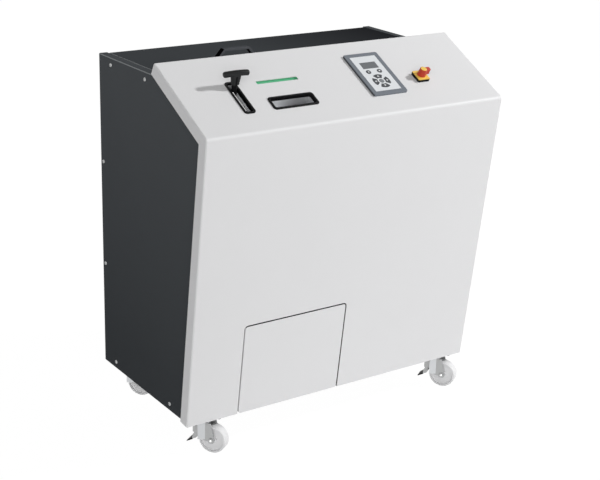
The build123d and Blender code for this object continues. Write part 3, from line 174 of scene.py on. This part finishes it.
def add_floor():
    """A white floor that keeps a faint shadow of the machine."""
    mesh = bpy.data.meshes.new("floor")
    ends = (-FLOOR_HALF, FLOOR_HALF)
    mesh.from_pydata([(x, y, 0) for x in ends for y in ends], [], [(0, 2, 3, 1)])
    floor = bpy.data.objects.new("floor", mesh)
    bpy.context.scene.collection.objects.link(floor)
    made = bpy.data.materials.new("floor_white")
    made.use_nodes = True
    tree = made.node_tree
    tree.nodes.clear()
    plain = tree.nodes.new("ShaderNodeBsdfDiffuse")
    plain.inputs["Color"].default_value = (FLOOR_BOUNCE, FLOOR_BOUNCE, FLOOR_BOUNCE, 1)
    shade = tree.nodes.new("ShaderNodeBsdfDiffuse")
    shade.inputs["Color"].default_value = (FLOOR_SHADE, FLOOR_SHADE, FLOOR_SHADE, 1)
    glow = tree.nodes.new("ShaderNodeEmission")
    glow.inputs["Strength"].default_value = FLOOR_GLOW
    both = tree.nodes.new("ShaderNodeAddShader")
    mix = tree.nodes.new("ShaderNodeMixShader")
    output = tree.nodes.new("ShaderNodeOutputMaterial")
    tree.links.new(shade.outputs["BSDF"], both.inputs[0])
    tree.links.new(glow.outputs["Emission"], both.inputs[1])
    tree.links.new(seen_directly(tree), mix.inputs["Fac"])
    tree.links.new(plain.outputs["BSDF"], mix.inputs[1])
    tree.links.new(both.outputs["Shader"], mix.inputs[2])
    tree.links.new(mix.outputs["Shader"], output.inputs["Surface"])
    mesh.materials.append(made)


# Finishes: how a colour and a roughness vary, the grain, and where the painted highlight on a rounded edge
# begins and is full
CLOUD_SCALE = 6.0
CLOUD_DETAIL = 3.0
ROUGHNESS_SPREAD = 0.05
GRAIN_DETAIL = 2.0
GRAIN_DEPTH = 0.2 * MM
EDGE_BEGINS = 0.99
EDGE_FULL = 0.88


def srgb(red, green, blue):
    """Linear colour of 8-bit screen values."""
    def channel(value):
        value = value / 255
        return value / 12.92 if value <= 0.04045 else ((value + 0.055) / 1.055) ** 2.4
    return (channel(red), channel(green), channel(blue), 1)


def painted_edge_highlight(tree, place):
    """A factor that is 1 on rounded edges, where a face looks along none of the axes: the mask of a painted
    highlight.
    """
    size = tree.nodes.new("ShaderNodeVectorMath")
    size.operation = "ABSOLUTE"
    split = tree.nodes.new("ShaderNodeSeparateXYZ")
    tree.links.new(place.outputs["Normal"], size.inputs[0])
    tree.links.new(size.outputs["Vector"], split.inputs["Vector"])
    largest = split.outputs["X"]
    for axis in "YZ":
        either = tree.nodes.new("ShaderNodeMath")
        either.operation = "MAXIMUM"
        tree.links.new(largest, either.inputs[0])
        tree.links.new(split.outputs[axis], either.inputs[1])
        largest = either.outputs["Value"]
    level = tree.nodes.new("ShaderNodeMapRange")
    level.inputs["From Min"].default_value = EDGE_BEGINS
    level.inputs["From Max"].default_value = EDGE_FULL
    tree.links.new(largest, level.inputs["Value"])
    return level.outputs["Result"]


def painted_shading_factor(tree, place, axis, places):
    """A factor that goes from 0 to 1 between two places on an axis, where painted light or shade fades in."""
    split = tree.nodes.new("ShaderNodeSeparateXYZ")
    level = tree.nodes.new("ShaderNodeMapRange")
    level.inputs["From Min"].default_value, level.inputs["From Max"].default_value = places
    tree.links.new(place.outputs["Object"], split.inputs["Vector"])
    tree.links.new(split.outputs[axis], level.inputs["Value"])
    return level.outputs["Result"]


def turn_to(tree, shown, factor, color):
    """The shown colour, turning into another one as a factor rises."""
    mix = tree.nodes.new("ShaderNodeMix")
    mix.data_type = "RGBA"
    mix.inputs["B"].default_value = color
    tree.links.new(factor, mix.inputs["Factor"])
    tree.links.new(shown, mix.inputs["A"])
    return mix.outputs["Result"]


def grain_noise(tree, place, grain_mm, brushed):
    """A fine noise, drawn out into lines where the finish is brushed."""
    fine = tree.nodes.new("ShaderNodeTexNoise")
    fine.inputs["Scale"].default_value = 1 / (grain_mm * MM)
    fine.inputs["Detail"].default_value = GRAIN_DETAIL
    where = place.outputs["Object"]
    if brushed:
        stretch = tree.nodes.new("ShaderNodeMapping")
        stretch.inputs["Scale"].default_value = brushed
        tree.links.new(where, stretch.inputs["Vector"])
        where = stretch.outputs["Vector"]
    tree.links.new(where, fine.inputs["Vector"])
    return fine.outputs["Fac"]


def material(
    name, color, roughness, metallic=0.0, grain_mm=0.0, bump=0.0, spread=0.03, coat=0.0, shine=0.5,
    brushed=None, edge=None, painted_shading=None,
):
    """A procedural finish: a colour that varies a little, a grain or brushed lines, and a sheen.

    brushed gives the direction of the lines as stretch factors along X, Y and Z, edge the colour
    of a painted highlight on rounded edges, and painted_shading an axis, two places on it and the
    colour of painted light or shade at the second of them.
    """
    made = bpy.data.materials.new(name)
    made.use_nodes = True
    tree = made.node_tree
    shader = tree.nodes["Principled BSDF"]
    shader.inputs["Metallic"].default_value = metallic
    shader.inputs["Coat Weight"].default_value = coat
    shader.inputs["Specular IOR Level"].default_value = shine
    place = tree.nodes.new("ShaderNodeTexCoord")
    cloud = tree.nodes.new("ShaderNodeTexNoise")
    cloud.inputs["Scale"].default_value = CLOUD_SCALE
    cloud.inputs["Detail"].default_value = CLOUD_DETAIL
    tree.links.new(place.outputs["Object"], cloud.inputs["Vector"])
    varied = cloud.outputs["Fac"]
    level = tree.nodes.new("ShaderNodeMapRange")
    level.inputs["To Min"].default_value = max(0, roughness - ROUGHNESS_SPREAD)
    level.inputs["To Max"].default_value = min(1, roughness + ROUGHNESS_SPREAD)
    tree.links.new(varied, level.inputs["Value"])
    tree.links.new(level.outputs["Result"], shader.inputs["Roughness"])
    if grain_mm:
        grain = grain_noise(tree, place, grain_mm, brushed)
        relief = tree.nodes.new("ShaderNodeBump")
        relief.inputs["Strength"].default_value = bump
        relief.inputs["Distance"].default_value = GRAIN_DEPTH
        tree.links.new(grain, relief.inputs["Height"])
        tree.links.new(relief.outputs["Normal"], shader.inputs["Normal"])
        varied = grain if brushed else varied
    tint = tree.nodes.new("ShaderNodeMix")
    tint.data_type = "RGBA"
    tint.inputs["A"].default_value = tuple(value * (1 - spread) for value in color[:3]) + (1,)
    tint.inputs["B"].default_value = tuple(min(1, value * (1 + spread)) for value in color[:3]) + (1,)
    tree.links.new(varied, tint.inputs["Factor"])
    shown = tint.outputs["Result"]
    if edge:
        shown = turn_to(tree, shown, painted_edge_highlight(tree, place), edge)
    if painted_shading:
        axis, places, far_color = painted_shading
        shown = turn_to(tree, shown, painted_shading_factor(tree, place, axis, places), far_color)
    tree.links.new(shown, shader.inputs["Base Color"])
    return made


# Paints, with painted shade and painted reflection fading in between places in metres, and a painted
# highlight on rounded edges
EDGE_HIGHLIGHT_GREY = srgb(160, 164, 166)
SIDE_PAINTED_SHADE = (1.0, 0.2)
LID_PAINTED_SHADE = (-0.1, 0.45)
hood_paint = material("hood_paint", srgb(229, 229, 230), 0.5, grain_mm=0.9, bump=0.12, spread=0.01, shine=0.3)
# The body paint is darker towards the bottom: painted shade; its rounded edges get a painted highlight
body_paint = material(
    "body_paint", srgb(88, 91, 94), 0.65, grain_mm=0.9, bump=0.25, spread=0.04, shine=0.0,
    edge=EDGE_HIGHLIGHT_GREY, painted_shading=("Z", SIDE_PAINTED_SHADE, srgb(71, 74, 77)),
)
# The lid is a darker copy of the body paint and darker still towards its right end: painted shade and painted
# reflection; its rounded edges get a painted highlight
shaded_lid_paint = material(
    "shaded_lid_paint", srgb(77, 80, 83), 0.65, grain_mm=0.9, bump=0.25, spread=0.04, shine=0.0,
    edge=EDGE_HIGHLIGHT_GREY, painted_shading=("X", LID_PAINTED_SHADE, srgb(42, 43, 46)),
)
handle_paint = material("handle_paint", srgb(86, 88, 92), 0.6, grain_mm=0.9, bump=0.2, shine=0.0)
# Near black for the handle's faces that look across the machine: painted shade
handle_painted_shade = material("handle_painted_shade", srgb(14, 14, 15), 0.6, grain_mm=0.9, bump=0.2, shine=0.0)
frame_paint = material("frame_paint", srgb(34, 35, 37), 0.6, grain_mm=1.2, bump=0.2, shine=0.3)
casting = material("casting", srgb(84, 96, 110), 0.55, grain_mm=2.0, bump=0.4, spread=0.06, shine=0.3)

# Metals
BRUSHED = (0.03, 1, 1)
GROUND = (0.05, 1, 1)
# The feed throat and flap are lighter towards the left and darker towards the right: painted light
THROAT_PAINTED_LIGHT = (-0.22, -0.15)
zinc = material("zinc", srgb(200, 202, 204), 0.38, metallic=0.85, grain_mm=2.5, bump=0.08, spread=0.08)
# A duller zinc for screws, nuts and pedal arms; on the fork legs it stands in for shade: painted shade
dull_zinc_and_painted_shade = material("dull_zinc_and_painted_shade", srgb(180, 181, 181), 0.45, metallic=0.5, grain_mm=2.5, bump=0.08, spread=0.08)
dark_zinc = material("dark_zinc", srgb(84, 85, 87), 0.45, metallic=0.6, grain_mm=2.5, bump=0.08, spread=0.1)
polished = material("polished", srgb(250, 250, 250), 0.15, metallic=1.0, spread=0.02)
stainless = material(
    "stainless", srgb(205, 207, 210), 0.34, metallic=0.8, grain_mm=0.5, bump=0.12, spread=0.06,
    brushed=BRUSHED,
)
bright_sheet = material(
    "bright_sheet", srgb(226, 227, 229), 0.5, metallic=0.3, grain_mm=0.5, bump=0.08, spread=0.04,
    brushed=BRUSHED,
)
throat_sheet = material(
    "throat_sheet", srgb(246, 247, 249), 0.45, metallic=0.3, grain_mm=0.5, bump=0.08, spread=0.04,
    brushed=BRUSHED, painted_shading=("X", THROAT_PAINTED_LIGHT, srgb(196, 197, 200)),
)
tool_steel = material(
    "tool_steel", srgb(150, 151, 153), 0.35, metallic=1.0, grain_mm=0.6, bump=0.12, spread=0.1,
    brushed=GROUND,
)

# Plastics, with the grip painted darker along its top: painted shade
grip_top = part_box("lever_grip")[1][2]
GRIP_PAINTED_SHADE = (grip_top - 2 * MM, grip_top - 9 * MM)
black_plastic = material("black_plastic", srgb(14, 14, 16), 0.45, grain_mm=0.5, bump=0.12, shine=0.08)
grip_plastic = material(
    "grip_plastic", srgb(2, 2, 3), 0.3, grain_mm=0.5, bump=0.08, shine=0.15,
    painted_shading=("Z", GRIP_PAINTED_SHADE, srgb(38, 39, 40)),
)
slot_white = material("slot_white", srgb(252, 252, 252), 0.5, grain_mm=0.5, bump=0.05, spread=0.01)
panel_grey = material("panel_grey", srgb(112, 118, 126), 0.5, grain_mm=0.5, bump=0.1, shine=0.3)
label_white = material("label_white", srgb(226, 229, 232), 0.45, grain_mm=0.5, bump=0.03, spread=0.01)
key_grey = material("key_grey", srgb(66, 69, 73), 0.5, grain_mm=0.5, bump=0.08, shine=0.3)
key_center_grey = material("key_center_grey", srgb(128, 132, 136), 0.5, grain_mm=0.5, bump=0.08, shine=0.3)
key_symbol = material("key_symbol", srgb(228, 230, 232), 0.5, grain_mm=0.4, bump=0.03, spread=0.01)
display = material("display", srgb(96, 100, 104), 0.3, spread=0.05, shine=0.3, coat=0.2)
green = material("green", srgb(96, 184, 140), 0.35, spread=0.08, shine=0.3)
yellow = material("yellow", srgb(243, 203, 92), 0.4, grain_mm=0.5, bump=0.05, shine=0.4)
red = material("red", srgb(188, 54, 30), 0.4, grain_mm=0.5, bump=0.05, shine=0.4)
wheel_white = material("wheel_white", srgb(228, 228, 229), 0.42, grain_mm=1.0, bump=0.02, shine=0.4)
runner = material("runner", srgb(214, 214, 210), 0.5, grain_mm=1.0, bump=0.1)

# How squarely a face looks along a direction to get a second finish
FACING = 0.6
FACING_UP = 0.7
FACING_SQUARELY = 0.98


def dress(made, *names):
    """Gives CAD nodes a finish."""
    for name in names:
        mesh = nodes[name].data
        mesh.materials.clear()
        mesh.materials.append(made)


def dress_facing(made, name, way, least):
    """Gives a second finish to the faces of a CAD node that look along a direction or against it."""
    mesh = nodes[name].data
    mesh.materials.append(made)
    for face in mesh.polygons:
        if abs(face.normal.dot(way)) > least:
            face.material_index = len(mesh.materials) - 1


# Hood, cabinet and lid
dress(hood_paint, "front_hood", "bin_front")
# The drawer front's top faces get the dark frame paint: painted shade in the gap above it
dress_facing(frame_paint, "bin_front", UP, FACING_UP)
dress(body_paint, "side_panel_left", "side_panel_right", "rear_panel", "electrics_box")
dress(shaded_lid_paint, "top_lid")
dress(handle_paint, "lid_handle")
# The handle's faces that look across the machine are near black: painted shade
dress_facing(handle_painted_shade, "lid_handle", ACROSS, FACING)
dress(frame_paint, "frame", "base_plate")
dress(zinc, "panel_screws", "lid_hinges")

# Lever, feed opening, control unit and switch
ARROW_TURNS = {"key_right": 0, "key_up": 90, "key_left": 180, "key_down": 270}
ROUND_KEYS = ("key_upper_left", "key_upper_right")
dress(black_plastic, "lever_bezel", "feed_lever", "feed_bezel", "switch_base", "cable_gland")
dress(grip_plastic, "lever_grip")
dress(bright_sheet, "lever_brackets")
dress(throat_sheet, "feed_throat", "feed_flap")
dress(green, "signal_strip")
dress(panel_grey, "control_housing")
# The control housing's faces that look across the machine get the dark key grey: painted shade
dress_facing(key_grey, "control_housing", ACROSS, FACING)
dress(label_white, "keypad_plate")
dress(display, "display_window")
dress(key_center_grey, "key_center")
dress(key_grey, *ARROW_TURNS, *ROUND_KEYS)
dress(yellow, "switch_plate")
dress(red, "switch_knob")

# Cutting unit, drive and drawer
dress(tool_steel, "cutter_frame", "cutter_bearings")
for end in ("front", "rear"):
    dress(tool_steel, f"cutter_shaft_{end}", f"cutter_discs_{end}", f"timing_gear_{end}")
dress(casting, "gearbox", "drive_motor")
dress(stainless, "discharge_chute", "shred_bin")
dress(runner, "drawer_runners")

# Casters
dress(dark_zinc, "caster_plates", "caster_bolts")
dress(zinc, "brake_pedal_front_left", "brake_pedal_front_right")
for corner in CORNERS:
    dress(zinc, f"caster_fork_{corner}")
    # The fork legs' faces that look along the axle get the duller zinc: painted shade
    dress_facing(dull_zinc_and_painted_shade, f"caster_fork_{corner}", AXLE, FACING_SQUARELY)
    dress(wheel_white, f"caster_wheel_{corner}")

# Making pieces: lengths in millimetres, and the facets of a round outline
FACETS = 24
SMOOTH_BELOW = radians(35)


def slope_place(x, down, height):
    """A frame on the slope: X across, Y up the slope and Z out of it, at a place in millimetres."""
    origin = CREST + (ACROSS * x + DOWN_SLOPE * down + SLOPE_OUT * height) * MM
    axes = Matrix((ACROSS, -DOWN_SLOPE, SLOPE_OUT)).transposed()
    return Matrix.Translation(origin) @ axes.to_4x4()


def slope_extent(name):
    """Middle of a node on the slope as X and distance down, and its top, in millimetres."""
    offsets = [vertex.co - CREST for vertex in nodes[name].data.vertices]
    across = [offset.dot(ACROSS) / MM for offset in offsets]
    down = [offset.dot(DOWN_SLOPE) / MM for offset in offsets]
    height = [offset.dot(SLOPE_OUT) / MM for offset in offsets]
    return (min(across) + max(across)) / 2, (min(down) + max(down)) / 2, max(height)


def facing(origin, way):
    """A frame at a place whose Z axis looks along a direction."""
    return Matrix.Translation(origin) @ way.to_track_quat("Z", "Y").to_matrix().to_4x4()


def ring(radius, count=FACETS, turn=0.0):
    """Points on a circle."""
    turns = [turn + 2 * pi * step / count for step in range(count)]
    return [(radius * cos(angle), radius * sin(angle)) for angle in turns]


def hexagon(radius, count=FACETS):
    """Points on a hexagon whose flats lie at a radius."""
    turns = [2 * pi * step / count for step in range(count)]
    sizes = [radius / cos(turn % (pi / 3) - pi / 6) for turn in turns]
    return [(size * cos(turn), size * sin(turn)) for size, turn in zip(sizes, turns)]


def prism(bm, outline, low, high, place):
    """A prism over an outline in the XY plane of a place."""
    lower = [bm.verts.new(place @ (Vector((x, y, low)) * MM)) for x, y in outline]
    upper = [bm.verts.new(place @ (Vector((x, y, high)) * MM)) for x, y in outline]
    bm.faces.new(upper)
    bm.faces.new(list(reversed(lower)))
    for index in range(len(outline)):
        after = (index + 1) % len(outline)
        bm.faces.new((lower[index], lower[after], upper[after], upper[index]))


def stack(bm, rows, place, peak=0.0):
    """A closed skin over outlines at heights, the middle of its top raised by a peak."""
    middle = [(0, 0)]
    closed = [(middle, rows[0][1]), *rows, (middle, rows[-1][1] + peak)]
    made = [
        [bm.verts.new(place @ (Vector((x, y, height)) * MM)) for x, y in outline]
        for outline, height in closed
    ]
    for below, above in zip(made, made[1:]):
        count = max(len(below), len(above))
        for index in range(count):
            after = (index + 1) % count
            around = [below[index % len(below)], below[after % len(below)]]
            around += [above[after % len(above)], above[index % len(above)]]
            bm.faces.new(list(dict.fromkeys(around)))


def finish_piece(name, bm, made, body, bevel_mm=0.0, smooth=False):
    """Turns a mesh under work into a piece that rides on a body."""
    bmesh.ops.recalc_face_normals(bm, faces=bm.faces)
    mesh = bpy.data.meshes.new(name)
    bm.to_mesh(mesh)
    bm.free()
    mesh.materials.append(made)
    piece = bpy.data.objects.new(name, mesh)
    bpy.context.scene.collection.objects.link(piece)
    if smooth:
        mesh.shade_smooth()
        mesh.set_sharp_from_angle(angle=SMOOTH_BELOW)
    if bevel_mm:
        bevel = piece.modifiers.new("edge", "BEVEL")
        bevel.width = bevel_mm * MM
        bevel.segments = 2
    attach(piece, body)
    return piece


# Symbols on the keys: arrow heads, a disc and a square
SYMBOL_RISE = 0.12
ARROW_RADIUS = 4.2
DISC_RADIUS = 2.5
SQUARE_RADIUS = 3.2


def add_key_symbols():
    outlines = {name: ring(ARROW_RADIUS, 3, radians(turn)) for name, turn in ARROW_TURNS.items()}
    outlines.update(zip(ROUND_KEYS, (ring(DISC_RADIUS), ring(SQUARE_RADIUS, 4, radians(45)))))
    for name, outline in outlines.items():
        bm = bmesh.new()
        prism(bm, outline, -SYMBOL_RISE, SYMBOL_RISE, slope_place(*slope_extent(name)))
        finish_piece(f"symbol_{name}", bm, key_symbol, f"body_{name}")


# Edges of the lever slot: a white wear strip on the left, and on the right a black sheet that stands in for
# shade in the slot: painted shade
SLOT_HALF = 11.0
SLOT_STRAIGHT = 50.0
STRIP_UPPER_END = 24.0
STRIP_REACH = 3.0
STRIP_ROOT = 0.2
STRIP_BELOW_RIM = (3.3, 2.3)
SHADE_SHEET_THICKNESS = 1.5
SHADE_SHEET_HEIGHTS = (-10.0, -1.0)


def add_slot_edges():
    slot_x, slot_down, rim_top = slope_extent("lever_bezel")
    strip_heights = [rim_top - below for below in STRIP_BELOW_RIM]
    strip_sides = (-SLOT_HALF - STRIP_ROOT, STRIP_REACH - SLOT_HALF)
    shade_sheet_sides = (SLOT_HALF, SLOT_HALF + SHADE_SHEET_THICKNESS)
    slot_edges = (
        ("slot_strip", slot_white, "label_light", strip_sides, STRIP_UPPER_END, strip_heights),
        ("slot_shade_sheet", black_plastic, "black_plastic", shade_sheet_sides, SLOT_STRAIGHT, SHADE_SHEET_HEIGHTS),
    )
    for name, made, slot, (left, right), end, (low, high) in slot_edges:
        bm = bmesh.new()
        outline = [(left, -SLOT_STRAIGHT), (right, -SLOT_STRAIGHT), (right, end), (left, end)]
        prism(bm, outline, low, high, slope_place(slot_x, slot_down, 0))
        finish_piece(name, bm, made, "cabinet")


# Yellow cap on the switch knob
CAP_FACETS = 32
CAP_RADIUS = 8.8
CAP_TOP_RADIUS = 8.4
CAP_ROOT = -0.1
CAP_SIDE = 0.3
CAP_TOP = 0.6


def add_knob_cap():
    x, down = slope_extent("switch_plate")[:2]
    top = slope_extent("switch_knob")[2]
    rows = [
        (ring(CAP_RADIUS, CAP_FACETS), CAP_ROOT),
        (ring(CAP_RADIUS, CAP_FACETS), CAP_SIDE),
        (ring(CAP_TOP_RADIUS, CAP_FACETS), CAP_TOP),
    ]
    bm = bmesh.new()
    stack(bm, rows, slope_place(x, down, top))
    finish_piece("knob_cap", bm, yellow, "switch", smooth=True)


# Panel screws with domed heads and hexagon sockets, in place of the plain ones
SHANK_RADIUS = 3.0
SHANK_LENGTH = 8.0
HEAD_HEIGHT = 3.2
HEAD_PROFILE = ((5.6, 0), (5.6, 0.7), (5.0, 2.0), (3.9, 2.9), (2.9, HEAD_HEIGHT))
SOCKET_FLATS = 2.0
SOCKET_FLOOR = 1.3
SCREW_REACH = 30 * MM


def plain_screws():
    """The points of each plain screw, told apart by their distance."""
    screws = []
    for vertex in nodes["panel_screws"].data.vertices:
        near = [group for group in screws if (group[0] - vertex.co).length < SCREW_REACH]
        if near:
            near[0].append(vertex.co)
        else:
            screws.append([vertex.co])
    return screws


def head_place(points):
    """A frame under the head of a plain screw that looks out of the cabinet."""
    low = Vector([min(point[axis] for point in points) for axis in range(3)])
    high = Vector([max(point[axis] for point in points) for axis in range(3)])
    center = (low + high) / 2
    size = high - low
    along = max(range(3), key=lambda axis: size[axis])
    way = Vector([0, 0, 0])
    way[along] = 1 if center[along] > 0 else -1
    return facing(center + way * (size[along] / 2 - HEAD_HEIGHT * MM), way)


def add_domed_screws():
    rows = [(ring(SHANK_RADIUS), -SHANK_LENGTH), (ring(SHANK_RADIUS), 0)]
    rows += [(ring(radius), height) for radius, height in HEAD_PROFILE]
    rows += [(hexagon(SOCKET_FLATS), HEAD_HEIGHT), (hexagon(SOCKET_FLATS), SOCKET_FLOOR)]
    bm = bmesh.new()
    for points in plain_screws():
        stack(bm, rows, head_place(points))
    domed = finish_piece("panel_screws_domed", bm, dull_zinc_and_painted_shade, "cabinet", smooth=True)
    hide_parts("panel_screws")


# Caster axles: a nut and a polished axle end outside each leg of the forks
LEG_OUTER = 19.5 * MM
NUT_FLATS = 6.2
NUT_TOP_FLATS = 5.6
NUT_HEIGHTS = (-2.0, 3.0, 3.6)
END_RADIUS = 3.3
END_TOP_RADIUS = 2.2
END_HEIGHTS = (2.6, 4.6, 5.4)
END_PEAK = 0.2


def wheel_hub(corner):
    low, high = [Vector(point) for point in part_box(f"caster_wheel_{corner}")]
    return (low + high) / 2


def add_axle_fittings(corner):
    nut = zip((hexagon(NUT_FLATS), hexagon(NUT_FLATS), hexagon(NUT_TOP_FLATS)), NUT_HEIGHTS)
    end = zip((ring(END_RADIUS), ring(END_RADIUS), ring(END_TOP_RADIUS)), END_HEIGHTS)
    fittings = (("nuts", list(nut), 0.0, dull_zinc_and_painted_shade), ("ends", list(end), END_PEAK, polished))
    for name, rows, peak, made in fittings:
        bm = bmesh.new()
        for way in (AXLE, -AXLE):
            stack(bm, rows, facing(wheel_hub(corner) + way * LEG_OUTER, way), peak)
        finish_piece(f"axle_{name}_{corner}", bm, made, f"swivel_{corner}", smooth=True)


# Bent brake pedals with rubber pads, as outlines along the trail and up from the floor
TRAIL_LENGTH = 34 * MM
PEDAL_HALF = 15
PEDAL_BEVEL = 0.6
PAD_HALF = 16
PAD_BEVEL = 0.8
BLADE_END = Vector((-41, 22))
BLADE_ROOT = Vector((-25, 32.2))
BLADE_UP = (BLADE_ROOT - BLADE_END).normalized()
BLADE_OUT = Vector((-BLADE_UP.y, BLADE_UP.x))
BLADE_HALF = 1.6
PAD_ROOT_HALF = 2.6
PAD_END_HALF = 1.2
ARM_SIDE = [(-25, 43), (-19.5, 52), (-22, 58), (-20, 66), (-12, 66.5), (-9.5, 58), (-9.5, 44), (-14, 36)]


def add_pedal(corner):
    arm_outline = [BLADE_END - BLADE_OUT * BLADE_HALF / 2, BLADE_END + BLADE_OUT * BLADE_HALF / 2]
    arm_outline += [BLADE_ROOT + BLADE_OUT * BLADE_HALF, *ARM_SIDE, BLADE_ROOT - BLADE_OUT * BLADE_HALF]
    pad_outline = [BLADE_END - BLADE_UP + BLADE_OUT * side * PAD_END_HALF for side in (-1, 1)]
    pad_outline += [BLADE_ROOT + BLADE_OUT * side * PAD_ROOT_HALF for side in (1, -1)]
    body = f"pedal_{corner}"
    pivot = wheel_hub(corner) - TRAIL * TRAIL_LENGTH
    axes = Matrix((TRAIL, UP, -AXLE)).transposed().to_4x4()
    place = Matrix.Translation((pivot.x, pivot.y, 0)) @ axes
    bm = bmesh.new()
    prism(bm, arm_outline, -PEDAL_HALF, PEDAL_HALF, place)
    arm = finish_piece(f"pedal_arm_{corner}", bm, dull_zinc_and_painted_shade, body, bevel_mm=PEDAL_BEVEL)
    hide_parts(f"brake_pedal_{corner}")
    bm = bmesh.new()
    prism(bm, pad_outline, -PAD_HALF, PAD_HALF, place)
    finish_piece(f"pedal_pad_{corner}", bm, black_plastic, body, bevel_mm=PAD_BEVEL)


add_key_symbols()
add_slot_edges()
add_knob_cap()
add_domed_screws()
for corner in CORNERS:
    add_axle_fittings(corner)
    if "front" in corner:
        add_pedal(corner)
add_camera()
add_world()
add_floor()
add_key()
add_fill()
bpy.context.scene.view_settings.view_transform = "Standard"
